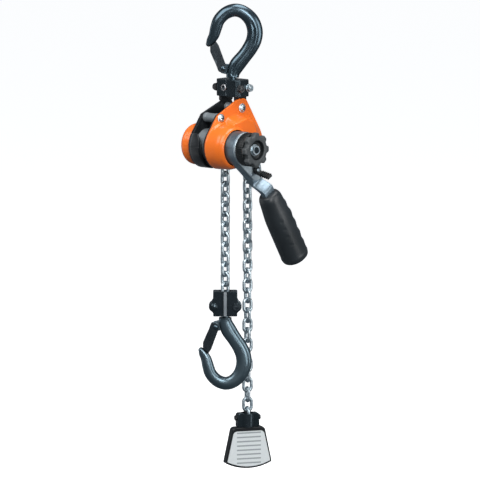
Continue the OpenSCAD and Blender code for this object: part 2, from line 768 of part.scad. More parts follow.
module at_lower_block() { translate([fall_x, 0, 0]) rotate([0, 0, hook_yaw]) children(); }
module lower_block_half(s) {
  at_lower_block() difference() {
    intersection() {
      union() {
        translate([-lower_u, -lower_y, lower_bottom])
          cube([2 * lower_u, 2 * lower_y, lower_top - lower_bottom]);
        translate([0, 0, lower_bottom]) cylinder(r = 10, h = lower_top - lower_bottom, $fn = 64);
        for (u = [-1, 1]) translate([u * lower_wing_u, 0, lower_wing_z]) ycyl(6, -lower_y, lower_y);
      }
      translate([-40, s > 0 ? 0 : -40, -400]) cube([80, 40, 100]);
    }
    translate([0, 0, lower_well_z]) cylinder(r = 7.6, h = 30);
    translate([0, 0, lower_collar_z]) cylinder(r = 8, h = 5.3);
    translate([0, 0, -370]) cylinder(r = shank_r + run, h = 30);
    rotate([0, 0, -hook_yaw]) translate([-9, 0, lower_pin_z]) rotate([0, 90, 0])
      cylinder(r = lower_pin_r, h = 18, $fn = 32);
    for (u = [-1, 1]) translate([u * lower_wing_u, 0, lower_wing_z]) ycyl(lower_bolt_r, -20, 20, 32);
  }
}
module lower_block_front() { color([0.12, 0.13, 0.14]) lower_block_half(-1); }
module lower_block_rear() { color([0.12, 0.13, 0.14]) lower_block_half(1); }
module lower_block_bolts() {
  color("gray") at_lower_block()
    for (s = [-1, 1]) translate([s * lower_wing_u, 0, lower_wing_z]) {
      block_bolt(s, lower_y, lower_bolt_r);
      block_nut(s, lower_y, lower_bolt_r);
    }
}
module lower_chain_pin() {
  color("gray") translate([fall_x - 8.8, 0, lower_pin_z]) rotate([0, 90, 0])
  cylinder(r = lower_pin_r, h = 17.6, $fn = 32);
}

// ---------- end tag ----------

module at_tag() { translate([slack_x, 0, 0]) rotate([0, 0, tag_yaw]) children(); }
module end_clamp() {
  color([0.12, 0.13, 0.14]) at_tag() difference() {
    union() {
      translate([-clamp_x, -5.5, clamp_bottom]) cube([2 * clamp_x, 11, clamp_top - clamp_bottom]);
      translate([0, 0, clamp_bottom]) cylinder(r = 9, h = clamp_top - clamp_bottom, $fn = 64);
    }
    translate([0, 0, clamp_bottom + 3]) cylinder(r = 7.2, h = 30);
    translate([0, 0, clamp_bolt_z]) rotate([0, 90, 0]) cylinder(r = clamp_bolt_r, h = 60, center = true, $fn = 32);
  }
}
module end_bolt() {
  color("gray") at_tag() translate([0, 0, clamp_bolt_z]) rotate([0, 90, 0]) {
    cylinder(r = clamp_bolt_r, h = 30.5, center = true, $fn = 32);
    translate([0, 0, clamp_x]) cylinder(r = 3.4, h = 2.4, $fn = 6);
    translate([0, 0, -clamp_x - 2.4]) cylinder(r = 3.4, h = 2.4, $fn = 6);
  }
}
tag_arc_r = 62;
module tag_shape(grow = 0) {
  intersection() {
    polygon([[-tag_top_w / 2 - grow, clamp_bottom], [tag_top_w / 2 + grow, clamp_bottom],
             [tag_bottom_w / 2 + grow, tag_bottom - 2], [-tag_bottom_w / 2 - grow, tag_bottom - 2]]);
    translate([0, tag_bottom + tag_arc_r]) circle(r = tag_arc_r + grow, $fn = 128);
  }
}
module end_tag() {
  color([0.12, 0.13, 0.14]) at_tag() difference() {
    yplate(-tag_t / 2, tag_t / 2) tag_shape();
    yplate(-tag_t / 2 - 1, -tag_t / 2 + 0.5) label_shape();
  }
}
module label_shape() {
  intersection() {
    tag_shape(-1.6);
    translate([-50, tag_bottom - 10]) square([100, clamp_bottom - 4 - tag_bottom + 10]);
  }
}
module tag_label() { color("gainsboro") at_tag() yplate(-tag_t / 2 - 0.2, -tag_t / 2 + 0.5) label_shape(); }

// ---------- assembly ----------

top_hook();
top_hook_collar();
top_latch();
top_latch_pin();
top_latch_spring();
top_block_rear();
top_block_front();
top_block_bolts();
frame_rear();
frame_front();
frame_spacers();
shaft_hub();
front_cover();
cover_screws();
rear_cover();
rear_cover_screws();
drive_shaft();
pinion();
drive_bushes();
load_sheave();
load_gear();
sheave_bushes();
chain_guide();
chain_stripper();
brake_hub();
brake_linings();
brake_ratchet_disc();
pressure_nut();
brake_pawl();
brake_pawl_pin();
brake_pawl_spring();
lever_ratchet_wheel();
lever_arm();
lever_cover();
lever_cover_rivets();
lever_grip();
selector();
drive_pawl();
selector_pin();
detent_spring();
hand_wheel_cup();
hand_wheel();
hand_wheel_nut();
load_chain();
sheave_chain();
slack_chain();
lower_block_front();
lower_block_rear();
lower_block_bolts();
lower_chain_pin();
lower_hook();
lower_hook_collar();
lower_latch();
lower_latch_pin();
lower_latch_spring();
end_clamp();
end_tag();
tag_label();
end_bolt();
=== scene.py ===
"""Looks of a mini ratchet lever chain hoist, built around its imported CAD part.

Sizes are in millimetres in the part's own frame: Z up, origin at the seat of the top hook,
shafts along Y with the lever and hand wheel on the -Y side. put() turns them into metres.
"""

import json
import math

import bmesh
import bpy
from mathutils import Matrix, Vector

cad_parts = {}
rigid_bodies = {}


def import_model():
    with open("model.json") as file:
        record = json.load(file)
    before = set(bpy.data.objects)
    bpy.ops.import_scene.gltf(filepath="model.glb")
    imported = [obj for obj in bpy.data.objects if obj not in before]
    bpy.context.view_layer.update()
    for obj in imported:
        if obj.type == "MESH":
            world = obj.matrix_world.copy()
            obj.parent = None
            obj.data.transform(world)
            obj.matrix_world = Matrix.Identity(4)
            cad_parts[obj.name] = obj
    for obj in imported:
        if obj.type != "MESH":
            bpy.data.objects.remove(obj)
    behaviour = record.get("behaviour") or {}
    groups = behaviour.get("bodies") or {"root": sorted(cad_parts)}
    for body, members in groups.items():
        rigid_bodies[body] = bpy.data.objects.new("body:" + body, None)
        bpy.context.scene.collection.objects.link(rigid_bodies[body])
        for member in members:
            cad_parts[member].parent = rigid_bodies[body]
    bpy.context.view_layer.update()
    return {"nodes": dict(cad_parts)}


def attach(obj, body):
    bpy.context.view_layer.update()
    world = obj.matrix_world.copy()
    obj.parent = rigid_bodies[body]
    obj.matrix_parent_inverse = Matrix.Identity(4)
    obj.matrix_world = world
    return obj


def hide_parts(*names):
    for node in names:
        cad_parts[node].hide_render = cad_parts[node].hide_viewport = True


for leftover in list(bpy.data.objects):
    bpy.data.objects.remove(leftover)
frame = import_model()

MM = 0.001
MERGE_MM = 0.002

# ---------- sizes ----------

CHAIN_PITCH = 12
WIRE_R = 1.95
LINK_W = 13.7
LOAD_LINKS = 16
SLACK_LINKS = 28
AXIS_Z = -150
FALL_X = -13
POCKETS = 5
LINK_TURN = math.radians(180 / POCKETS)
VERTEX_R = CHAIN_PITCH / (2 * math.sin(LINK_TURN / 2))
LINK_R = VERTEX_R * math.cos(LINK_TURN / 2)
FLAT_LINK_R = LINK_R - 0.85
SHEAVE_X = FALL_X + VERTEX_R
SLACK_X = SHEAVE_X + VERTEX_R
DRIVE_X = SHEAVE_X - 42

HOOK_YAW = math.radians(-47)
HOOK_T = 14
LOWER_SEAT_Z = -430
LATCH_U = -11.5
LATCH_H = 61
TOP_BOWL = (1.03, 1.6)
LOWER_BOWL = (0.96, -0.8)

BLOCK_TOP = -74
BLOCK_BOTTOM = -94
BLOCK_BOLT_X = 7.5
BLOCK_BOLT_Z = -84
BLOCK_HALF_X = 12
BLOCK_HALF_Y = 19
BLOCK_CHAMFER = 4.5

FRAME_Y = 13
REAR_PLATE_T = 4
FRONT_PLATE_T = 2
FLANGE_T = 2.5
FLANGE_Y = -FRAME_Y - FLANGE_T
REAR_COVER_Y = 30.5
COVER_WALL = 1.6
OPENING_R = 20.8
COLLAR_R = 26
SCREW_AT = [(-37.1, -116.8), (-0.5, -107.4)]
REAR_SCREW_AT = [(DRIVE_X + 18, AXIS_Z + 22), (DRIVE_X + 18, AXIS_Z - 22)]

DRUM_R = 20.2
DRUM_Y = -37
HEAD_Y0 = -41.5
HEAD_Y1 = -55.5
LEVER_ANGLE = math.radians(30.8)
PAWL_R = 30
ARM_W = 17
GRIP_Y = -60
GRIP_START = 64
LEVER_LEN = 160
LEVER_BORE_R = 9.1

CUP_Y0 = -56
CUP_Y1 = -66
CUP_R = 19.4
STAR_Y1 = -73
NUT_SEAT_Y = -68

LOWER_TOP = -326
LOWER_BOTTOM = -356
WING_U = 13.5
WING_Z = -344.5

TAG_YAW = math.radians(-30)
CLAMP_TOP = AXIS_Z - CHAIN_PITCH * (SLACK_LINKS - 1) - 4
CLAMP_BOTTOM = CLAMP_TOP - 17
TAG_BOTTOM = CLAMP_BOTTOM - 50
TAG_T = 12

# Places of the sub-assemblies: each maps its own millimetres to the part's
IDENTITY = Matrix.Identity(4)
TOP_HOOK = Matrix.Rotation(HOOK_YAW, 4, "Z") @ Matrix.Scale(-1, 4, (0, 0, 1))
LOWER_HOOK = Matrix.Translation((FALL_X, 0, LOWER_SEAT_Z)) @ Matrix.Rotation(HOOK_YAW, 4, "Z")
LOWER_BLOCK = Matrix.Translation((FALL_X, 0, 0)) @ Matrix.Rotation(HOOK_YAW, 4, "Z")
AT_DRIVE = Matrix.Translation((DRIVE_X, 0, AXIS_Z))
AT_SHEAVE = Matrix.Translation((SHEAVE_X, 0, AXIS_Z))
AT_LEVER = AT_DRIVE @ Matrix.Rotation(-LEVER_ANGLE, 4, "Y")
AT_PAWL = AT_LEVER @ Matrix.Translation((0, 0, -PAWL_R))
AT_TAG = Matrix.Translation((SLACK_X, 0, 0)) @ Matrix.Rotation(TAG_YAW, 4, "Z")


# ---------- materials ----------

def node_material(name):
    m = bpy.data.materials.new(name)
    m.use_nodes = True
    nodes = m.node_tree.nodes
    return m, nodes, m.node_tree.links, nodes["Principled BSDF"]


def new_node(nodes, kind, **values):
    """Shader node with some inputs set; an underscore in a name stands for a space."""
    n = nodes.new(kind)
    for name, value in values.items():
        n.inputs[name.replace("_", " ")].default_value = value
    return n


def noise(nodes, links, scale, detail, stretch=(1, 1, 1)):
    """Noise in the object's own coordinates, with its scale in cells per metre."""
    place = new_node(nodes, "ShaderNodeTexCoord")
    mapping = new_node(nodes, "ShaderNodeMapping", Scale=stretch)
    links.new(place.outputs["Object"], mapping.inputs["Vector"])
    n = new_node(nodes, "ShaderNodeTexNoise", Scale=scale, Detail=detail)
    links.new(mapping.outputs["Vector"], n.inputs["Vector"])
    return n


def ramp(nodes, links, value, low, high, start=0.3, end=0.7):
    r = nodes.new("ShaderNodeValToRGB")
    r.color_ramp.elements[0].position = start
    r.color_ramp.elements[1].position = end
    r.color_ramp.elements[0].color = (*low, 1)
    r.color_ramp.elements[1].color = (*high, 1)
    links.new(value, r.inputs["Fac"])
    return r


def spread(nodes, links, value, low, high, start=0.3, end=0.7):
    r = new_node(nodes, "ShaderNodeMapRange", From_Min=start, From_Max=end, To_Min=low, To_Max=high)
    links.new(value, r.inputs["Value"])
    return r


def math_node(nodes, links, operation, first, second=None):
    """Math on an output and, where it takes two, on a second output or a number."""
    n = nodes.new("ShaderNodeMath")
    n.operation = operation
    links.new(first, n.inputs[0])
    if isinstance(second, float):
        n.inputs[1].default_value = second
    elif second is not None:
        links.new(second, n.inputs[1])
    return n.outputs["Value"]


def mixed(nodes, links, factor, colour, other):
    """Colour output that goes over to another colour as the factor rises to 1."""
    mix = new_node(nodes, "ShaderNodeMixRGB", Color2=(*other, 1))
    links.new(factor, mix.inputs["Fac"])
    links.new(colour, mix.inputs["Color1"])
    return mix.outputs["Color"]


EDGE_TINT_FROM, EDGE_TINT_TO = 0.54, 0.66


def finish_material(name, dark, light, metallic, rough, blotch, grain, bump_mm, coat=0.0,
                    coat_rough=0.1, stretch=(1, 1, 1), edge=None, specular=0.5):
    """Colour mottled between two tones, roughness that follows it, and a fine bump.

    edge is a lighter colour laid in patches along its sharp edges."""
    m, nodes, links, shader = node_material(name)
    broad = noise(nodes, links, blotch, 4)
    fine = noise(nodes, links, grain, 3, stretch)
    tone = ramp(nodes, links, broad.outputs["Fac"], dark, light)
    colour = tone.outputs["Color"]
    if edge:
        # Lighter in patches where the surface is sharply curved, by pointiness.
        geometry = new_node(nodes, "ShaderNodeNewGeometry")
        edge_tint = spread(nodes, links, geometry.outputs["Pointiness"], 0, 1, EDGE_TINT_FROM, EDGE_TINT_TO)
        patchy = math_node(nodes, links, "MULTIPLY", edge_tint.outputs["Result"], fine.outputs["Fac"])
        colour = mixed(nodes, links, patchy, colour, edge)
    links.new(colour, shader.inputs["Base Color"])
    shine = spread(nodes, links, fine.outputs["Fac"], rough * 0.85, rough * 1.15)
    links.new(shine.outputs["Result"], shader.inputs["Roughness"])
    bump = new_node(nodes, "ShaderNodeBump", Strength=1.0, Distance=bump_mm * MM)
    links.new(fine.outputs["Fac"], bump.inputs["Height"])
    links.new(bump.outputs["Normal"], shader.inputs["Normal"])
    shader.inputs["Metallic"].default_value = metallic
    shader.inputs["Specular IOR Level"].default_value = specular
    shader.inputs["Coat Weight"].default_value = coat
    shader.inputs["Coat Roughness"].default_value = coat_rough
    return m


def label_material():
    """Satin plate with blank printed bars, which stand for its print."""
    m, nodes, links, shader = node_material("label")
    place = new_node(nodes, "ShaderNodeTexCoord")
    parts = new_node(nodes, "ShaderNodeSeparateXYZ")
    links.new(place.outputs["Object"], parts.inputs["Vector"])
    bar_pitch, bar_edge, bar_reach = 2.6 * MM, 1.75 * MM, 15 * MM
    wave = math_node(nodes, links, "PINGPONG", parts.outputs["Z"], bar_pitch)
    bar = math_node(nodes, links, "GREATER_THAN", wave, bar_edge)
    reach = math_node(nodes, links, "ABSOLUTE", parts.outputs["X"])
    inside = math_node(nodes, links, "LESS_THAN", reach, bar_reach)
    both = math_node(nodes, links, "MULTIPLY", bar, inside)
    brushed = noise(nodes, links, 900, 2, (1, 1, 8))
    base = ramp(nodes, links, brushed.outputs["Fac"], (0.6, 0.635, 0.645), (0.72, 0.755, 0.76))
    colour = mixed(nodes, links, both, base.outputs["Color"], (0.3, 0.33, 0.34))
    links.new(colour, shader.inputs["Base Color"])
    shader.inputs["Roughness"].default_value = 0.38
    shader.inputs["Metallic"].default_value = 0.0
    return m


MATERIALS = {
    "orange": finish_material("orange", (0.72, 0.135, 0.009), (0.8, 0.16, 0.014), 0, 0.42, 25, 700, 0.03,
                              coat=0.6, coat_rough=0.16, specular=0.25),
    "black": finish_material("black", (0.006, 0.0075, 0.009), (0.01, 0.0125, 0.015), 0, 0.32, 60, 900,
                             0.04, edge=(0.2, 0.21, 0.22), specular=0.4),
    "block_black": finish_material("block_black", (0.03, 0.044, 0.053), (0.045, 0.06, 0.07), 0.85, 0.24,
                                   60, 500, 0.02, edge=(0.2, 0.24, 0.27)),
    "hook_black": finish_material("hook_black", (0.055, 0.085, 0.105), (0.08, 0.115, 0.14), 0.92, 0.25,
                                  40, 90, 0.006, edge=(0.2, 0.24, 0.27)),
    # Lighter copy of the hook finish for the lower hook: painted light, not a different finish.
    "hook_black_painted_lighter": finish_material("hook_black_painted_lighter", (0.095, 0.14, 0.165), (0.135, 0.185, 0.215), 0.9, 0.32,
                                  40, 90, 0.006, edge=(0.24, 0.29, 0.32)),
    "latch_black": finish_material("latch_black", (0.014, 0.02, 0.025), (0.024, 0.033, 0.04), 0.5, 0.3,
                                   60, 500, 0.02, edge=(0.14, 0.17, 0.19)),
    "zinc": finish_material("zinc", (0.42, 0.5, 0.55), (0.58, 0.66, 0.7), 1, 0.4, 90, 800, 0.03),
    "blue_steel": finish_material("blue_steel", (0.18, 0.24, 0.29), (0.27, 0.34, 0.39), 1, 0.44, 70, 600,
                                  0.03, stretch=(1, 0.1, 1)),
    "dull_steel": finish_material("dull_steel", (0.2, 0.23, 0.25), (0.29, 0.32, 0.34), 0.55, 0.5, 80, 700,
                                  0.03),
    "steel": finish_material("steel", (0.36, 0.37, 0.38), (0.5, 0.5, 0.51), 1, 0.4, 80, 900, 0.03),
    "bronze": finish_material("bronze", (0.42, 0.27, 0.1), (0.55, 0.37, 0.15), 1, 0.4, 80, 1500, 0.05),
    "lining": finish_material("lining", (0.1, 0.055, 0.03), (0.22, 0.13, 0.07), 0, 0.85, 500, 1200, 0.1),
    "rubber": finish_material("rubber", (0.01, 0.0135, 0.016), (0.018, 0.023, 0.027), 0, 0.4, 40, 1400,
                              0.05),
    "knob": finish_material("knob", (0.034, 0.039, 0.042), (0.055, 0.062, 0.065), 0, 0.5, 60, 1500, 0.05,
                            edge=(0.14, 0.15, 0.15)),
    "black_plastic": finish_material("black_plastic", (0.005, 0.007, 0.008), (0.009, 0.011, 0.012), 0,
                                     0.36, 60, 1500, 0.03, specular=0.35),
    "label": label_material(),
}


# ---------- mesh helpers ----------

def put(name, body, slot, verts, faces, at=IDENTITY, replaces=(), bevel=0.0, segments=3,
        angle=30):
    """Makes one piece from millimetre points, places it, and hands it to its body."""
    mesh = bpy.data.meshes.new(name)
    scale = Matrix.Scale(MM, 4)
    mesh.from_pydata([scale @ (at @ Vector(v)) for v in verts], [], faces)
    tidy(mesh)
    obj = bpy.data.objects.new(name, mesh)
    bpy.context.scene.collection.objects.link(obj)
    mesh.materials.append(MATERIALS[slot])
    if bevel:
        add_bevel(obj, bevel, segments, angle)
    shade(obj, angle, bool(bevel))
    if body:
        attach(obj, body)
    if replaces:
        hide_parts(*replaces)
    return obj


def tidy(mesh):
    """Merges points that coincide and turns every face outwards."""
    b = bmesh.new()
    b.from_mesh(mesh)
    bmesh.ops.remove_doubles(b, verts=b.verts, dist=MERGE_MM * MM)
    bmesh.ops.recalc_face_normals(b, faces=b.faces)
    b.to_mesh(mesh)
    b.free()


def add_bevel(obj, width, segments=3, angle=30):
    m = obj.modifiers.new("bevel", "BEVEL")
    m.width = width * MM
    m.segments = segments
    m.limit_method = "ANGLE"
    m.angle_limit = math.radians(angle)
    m.harden_normals = True
    m.use_clamp_overlap = True


def shade(obj, angle=30, beveled=False):
    """Smooth shading, with sharp edges kept where faces turn by more than the angle."""
    for p in obj.data.polygons:
        p.use_smooth = True
    if not beveled:
        b = bmesh.new()
        b.from_mesh(obj.data)
        for e in b.edges:
            if len(e.link_faces) == 2 and e.calc_face_angle() > math.radians(angle + 5):
                e.smooth = False
        b.to_mesh(obj.data)
        b.free()


def loft(rings, close=True, caps=True, loop=False):
    """Points and faces of a skin through rings of equal size. loop joins the last ring to the first."""
    n = len(rings[0])
    verts = [p for ring in rings for p in ring]
    faces = []
    pairs = len(rings) if loop else len(rings) - 1
    for i in range(pairs):
        a, b = i * n, ((i + 1) % len(rings)) * n
        for k in range(n if close else n - 1):
            j = (k + 1) % n
            faces.append((a + k, a + j, b + j, b + k))
    if caps and not loop:
        faces.append(tuple(reversed(range(n))))
        faces.append(tuple(range((len(rings) - 1) * n, len(rings) * n)))
    return verts, faces


def merge(*parts):
    """Joins several (points, faces) pairs into one."""
    verts, faces = [], []
    for v, f in parts:
        base = len(verts)
        verts += [tuple(p) for p in v]
        faces += [tuple(base + i for i in face) for face in f]
    return verts, faces


def moved(part, matrix):
    return [tuple(matrix @ Vector(p)) for p in part[0]], part[1]


def prism(outline, y0, y1):
    """Outline of (x, z) points, extruded along Y."""
    return loft([[(x, y, z) for x, z in outline] for y in (y0, y1)])


def polar(y, radius, steps, centre=(0, 0), turn=0.0):
    """Ring of points about the Y axis, its radius a function of the angle; turn moves it round."""
    out = []
    for k in range(steps):
        t = 2 * math.pi * k / steps
        r = radius(t)
        out.append((centre[0] + r * math.cos(t + turn), y, centre[1] + r * math.sin(t + turn)))
    return out


def circle(y, r, steps, centre=(0, 0), turn=0.0):
    return polar(y, lambda t: r, steps, centre, turn)


def revolve(profile, segments=64, centre=(0, 0)):
    """Profile of (radius, y) points turned round the Y axis; a radius of 0 at an end closes it,
    and a profile that ends where it starts makes a ring."""
    ring = profile[0] == profile[-1]
    points = profile[:-1] if ring else profile
    return loft([circle(y, r, segments, centre) for r, y in points], caps=not ring, loop=ring)


def tube(r_out, r_in, y0, y1, edge, segments=64, centre=(0, 0)):
    """Ring along Y with its outer edges chamfered."""
    s = 1 if y1 > y0 else -1
    outline = [(r_in, y0), (r_out - edge, y0), (r_out, y0 + s * edge), (r_out, y1 - s * edge),
               (r_out - edge, y1), (r_in, y1), (r_in, y0)]
    return revolve(outline, segments, centre)


def rod(r, y0, y1, edge, segments=48, centre=(0, 0)):
    """Round bar along Y with chamfered ends."""
    s = 1 if y1 > y0 else -1
    outline = [(r - edge, y0), (r, y0 + s * edge), (r, y1 - s * edge), (r - edge, y1)]
    return revolve(outline, segments, centre)


def arc(cx, cz, r, a0, a1, steps):
    return [(cx + r * math.cos(math.radians(a0 + (a1 - a0) * k / steps)),
             cz + r * math.sin(math.radians(a0 + (a1 - a0) * k / steps))) for k in range(steps + 1)]


def rounded(corners, steps=6):
    """Outline with each (x, z, radius) corner rounded."""
    out = []
    n = len(corners)
    for i, (x, z, r) in enumerate(corners):
        p = Vector((x, z))
        a = (Vector(corners[i - 1][:2]) - p).normalized()
        b = (Vector(corners[(i + 1) % n][:2]) - p).normalized()
        if r <= 0:
            out.append((x, z))
            continue
        half = a.angle(b) / 2
        reach = r / math.tan(half)
        centre = p + (a + b).normalized() * (r / math.sin(half))
        start, end = p + a * reach - centre, p + b * reach - centre
        turn = start.angle_signed(end)
        for k in range(steps + 1):
            v = start.copy()
            v.rotate(Matrix.Rotation(-turn * k / steps, 2))
            out.append(tuple(centre + v))
    return out


def hull(circles, grow=0.0, steps=180):
    """Convex outline round (x, z, r) circles, by the farthest point in each direction."""
    out = []
    for k in range(steps):
        t = 2 * math.pi * k / steps
        n = (math.cos(t), math.sin(t))
        x, z, r = max(circles, key=lambda c: c[0] * n[0] + c[1] * n[1] + c[2])
        out.append((x + (r + grow) * n[0], z + (r + grow) * n[1]))
    return out


def spline(points, steps):
    """Catmull-Rom curve through points of any number of coordinates."""
    out = []
    last = len(points) - 1
    for i in range(last):
        a, b = points[max(i - 1, 0)], points[i]
        c, d = points[i + 1], points[min(i + 2, last)]
        for k in range(steps):
            t = k / steps
            out.append(tuple(0.5 * (2 * q + (r - p) * t + (2 * p - 5 * q + 4 * r - s) * t * t
                                    + (3 * q - p - 3 * r + s) * t ** 3)
                             for p, q, r, s in zip(a, b, c, d)))
    return out + [tuple(points[last])]


def smooth_step(t):
    t = min(max(t, 0.0), 1.0)
    return t * t * (3 - 2 * t)


def baked(obj):
    """Applies the modifiers of an object to its mesh."""
    bpy.context.view_layer.update()
    depsgraph = bpy.context.evaluated_depsgraph_get()
    mesh = bpy.data.meshes.new_from_object(obj.evaluated_get(depsgraph))
    obj.modifiers.clear()
    obj.data = mesh


def combine(obj, part, operation, at=IDENTITY, bevel=0.0, angle=30, finish=None):
    """Boolean of an object with a (points, faces) part, whose own faces may bring another finish."""
    tool = put(obj.name + "_tool", None, finish or "steel", *part, at=at, bevel=bevel, angle=angle)
    if obj.modifiers:
        baked(obj)
    m = obj.modifiers.new("boolean", "BOOLEAN")
    m.operation = operation
    m.solver = "EXACT"
    m.object = tool
    m.material_mode = "TRANSFER" if finish else "INDEX"
    baked(obj)
    bpy.data.objects.remove(tool)


def add(obj, part, at=IDENTITY, **options):
    combine(obj, part, "UNION", at, **options)


def cut(obj, part, at=IDENTITY, **options):
    combine(obj, part, "DIFFERENCE", at, **options)


# ---------- hooks ----------

# Centre line of a hook from its neck to its nose: across, height above the seat, width
HOOK_LINE = [(0, 71.6, 15), (0.5, 66, 16), (4.5, 57, 18.5), (12, 46.5, 17.5), (18.5, 37, 18),
             (23, 27, 18.5), (24, 16, 18.5), (20, 4, 17.5), (11, -5, 16), (1, -7.8, 15.5),
             (-9, -4.5, 15), (-17, 3.5, 14.5), (-20.5, 13, 14), (-23, 22, 12.5), (-27, 29, 10),
             (-29.5, 33, 6.2)]


def bowl_line(stretch, shift):
    """The hook's line with its bowl widened and moved across, below its neck."""
    out = []
    for u, h, width in HOOK_LINE:
        share = min(max((71 - h) / 25, 0), 1)
        out.append((u * (1 + (stretch - 1) * share) + shift * share, h, width))
    return out


def hook_section(turn, width, thick, groove, crease_at):
    """Point of a forged section: rounder inside, flatter outside, creased along its faces."""
    c, s = math.cos(turn), math.sin(turn)
    across = math.copysign(abs(c) ** 0.86, c)
    deep = math.copysign(abs(s) ** 0.8, s)
    taper = 1 - 0.13 * smooth_step((across - 0.15) / 0.85)
    crease = groove * math.exp(-((across - crease_at) / 0.13) ** 2)
    return across * width / 2, deep * (thick / 2) * taper - math.copysign(crease, s)


def hook_sweep(bowl, crease_at):
    path = spline(bowl_line(*bowl), 6)
    around = 56
    rings = []
    for i, (u, h, width) in enumerate(path):
        before, after = path[max(i - 1, 0)], path[min(i + 1, len(path) - 1)]
        along = Vector((after[0] - before[0], after[1] - before[1])).normalized()
        outward = Vector((-along.y, along.x))
        share = i / (len(path) - 1)
        thick = HOOK_T * (1 - 0.38 * smooth_step((share - 0.72) / 0.28))
        groove = 1.1 * smooth_step(share / 0.08) * smooth_step((0.5 - share) / 0.12)
        ring = []
        for k in range(around):
            a, b = hook_section(2 * math.pi * k / around, width, thick, groove, crease_at)
            ring.append((u + outward.x * a, b, h + outward.y * a))
        rings.append(ring)
    nose = path[-1]
    along = Vector((path[-1][0] - path[-2][0], path[-1][1] - path[-2][1])).normalized()
    for reach, size in ((0.7, 0.95), (1.5, 0.8), (2.1, 0.55), (2.4, 0.25)):
        centre = Vector((nose[0], 0, nose[1]))
        step = Vector((along.x, 0, along.y)) * reach
        rings.append([tuple(centre + (Vector(p) - centre) * size + step) for p in rings[len(path) - 1]])
    return loft(rings)


def lug():
    """Boss beside the neck that the latch turns on."""
    outline = rounded([(LATCH_U - 4.6, LATCH_H + 5.2, 4), (0, LATCH_H + 9, 0.5), (2, LATCH_H - 4, 0.5),
                       (LATCH_U - 2.2, LATCH_H - 5.4, 4)])
    return prism(outline, -2.8, 2.8)


def upright(part):
    """Turns a part made along Y so that it stands along Z."""
    return moved(part, Matrix.Rotation(math.radians(-90), 4, "X"))


def hook_piece(name, body, slot, at, bowl, crease_at, shank_top, replaced):
    obj = put(name, body, slot, *hook_sweep(bowl, crease_at), at=at, replaces=(replaced,))
    add(obj, lug(), at, bevel=0.5)
    neck = upright(revolve([(0, -69.4), (6.6, -69.4), (7.6, -70.4), (7.6, -71.6), (4.5, -72.4),
                            (4.5, -shank_top + 0.5), (4, -shank_top), (0, -shank_top)]))
    add(obj, neck, at)
    shade(obj, 32)


def latch_piece(name, body, at, replaced):
    """Pressed latch: a strap with two ears astride the hook's boss and a sunk panel on each side."""
    outline = rounded([(LATCH_U - 4.9, LATCH_H + 4.6, 4), (LATCH_U + 4.2, LATCH_H + 4.3, 4.1),
                       (LATCH_U + 3.5, LATCH_H - 3.2, 1.6), (-16.6, 34.4, 1.5), (-19.8, 29.6, 0.6),
                       (-22.8, 32.3, 0.4), (-26.6, 35.4, 0.8), (-26.6, 41, 3),
                       (LATCH_U - 11.2, LATCH_H - 11, 5), (LATCH_U - 8.4, LATCH_H - 5, 4)])
    obj = put(name, body, "latch_black", *prism(outline, -6, 6), at=at, bevel=0.9,
              replaces=(replaced,))
    panel = rounded([(-18.4, 51, 1.5), (-13.4, 51, 1.5), (-18.2, 37.4, 1.2), (-22.8, 39.4, 1.2)])
    for side in (-1, 1):
        cut(obj, prism(panel, side * 5.4, side * 7), at)
    slot = prism(rounded([(LATCH_U - 7, LATCH_H + 8, 1), (LATCH_U + 7, LATCH_H + 8, 1),
                          (LATCH_U + 7, LATCH_H - 7.2, 1), (LATCH_U - 7, LATCH_H - 7.2, 1)]), -3.1, 3.1)
    cut(obj, slot, at)
    shade(obj)


def latch_pin(name, body, at, replaced):
    c = (LATCH_U, LATCH_H)
    head = [(0, -7.6), (1.4, -7.5), (2.4, -7.0), (2.9, -6.3), (2.9, -6.05), (2, -6.0)]
    tail = [(2, 9.3), (3, 9.4), (3, 9.8), (2.8, 10), (0, 10)]
    put(name, body, "hook_black", *revolve(head + tail, 40, c), at=at, replaces=(replaced,))


def hooks():
    hook_piece("top_hook_forging", "top_hook", "hook_black", TOP_HOOK, TOP_BOWL, -0.1, 92, "top_hook")
    # The lower hook takes the lighter copy of the hook finish, as painted light.
    hook_piece("lower_hook_forging", "lower_hook", "hook_black_painted_lighter", LOWER_HOOK, LOWER_BOWL, 0.45, 82.5,
               "lower_hook")
    latch_piece("top_latch_pressing", "top_latch", TOP_HOOK, "top_latch")
    latch_piece("lower_latch_pressing", "lower_latch", LOWER_HOOK, "lower_latch")
    latch_pin("top_latch_rivet", "top_hook", TOP_HOOK, "top_latch_pin")
    latch_pin("lower_latch_rivet", "lower_hook", LOWER_HOOK, "lower_latch_pin")


# ---------- top block and frame ----------

def upright_prism(outline, z0, z1):
    """Outline of (x, y) points, extruded along Z."""
    return loft([[(x, y, z) for x, y in outline] for z in (z0, z1)])


def block_half(side, name, replaced):
    """Half of the block that carries the top hook, with chamfered corners and a slot for the frame."""
    x, y, c = BLOCK_HALF_X, side * BLOCK_HALF_Y, BLOCK_CHAMFER
    parting = 0.05 * side
    outline = [(-x, parting), (-x, y - side * c), (-x + c, y), (x - c, y), (x, y - side * c), (x, parting)]
    part = upright_prism(outline, BLOCK_BOTTOM, BLOCK_TOP)
    obj = put(name, "hoist_body", "block_black", *part, bevel=0.9, replaces=(replaced,))
    well = upright(tube(8, 4.6, 87, 95, 0.01, 48))
    cut(obj, well)
    ear = -FRAME_Y - 0.15 if side < 0 else FRAME_Y - REAR_PLATE_T - 0.15
    deep = (FRONT_PLATE_T if side < 0 else REAR_PLATE_T) + 0.3
    slot = upright_prism([(-10.2, ear), (10.2, ear), (10.2, ear + deep), (-10.2, ear + deep)], -95, -77.5)
    cut(obj, slot)
    shade(obj)


def ring_boss():
    """Hollow dowel end on the side of the top block."""
    part = tube(4.1, 2.6, 0, 1.6, 0.5, 40)
    at = Matrix.Translation((-12.9, 2.6, -83.4)) @ Matrix.Rotation(math.radians(90), 4, "Z")
    put("top_block_dowel", "hoist_body", "steel", *part, at=at @ Matrix.Translation((0, -0.8, 0)))


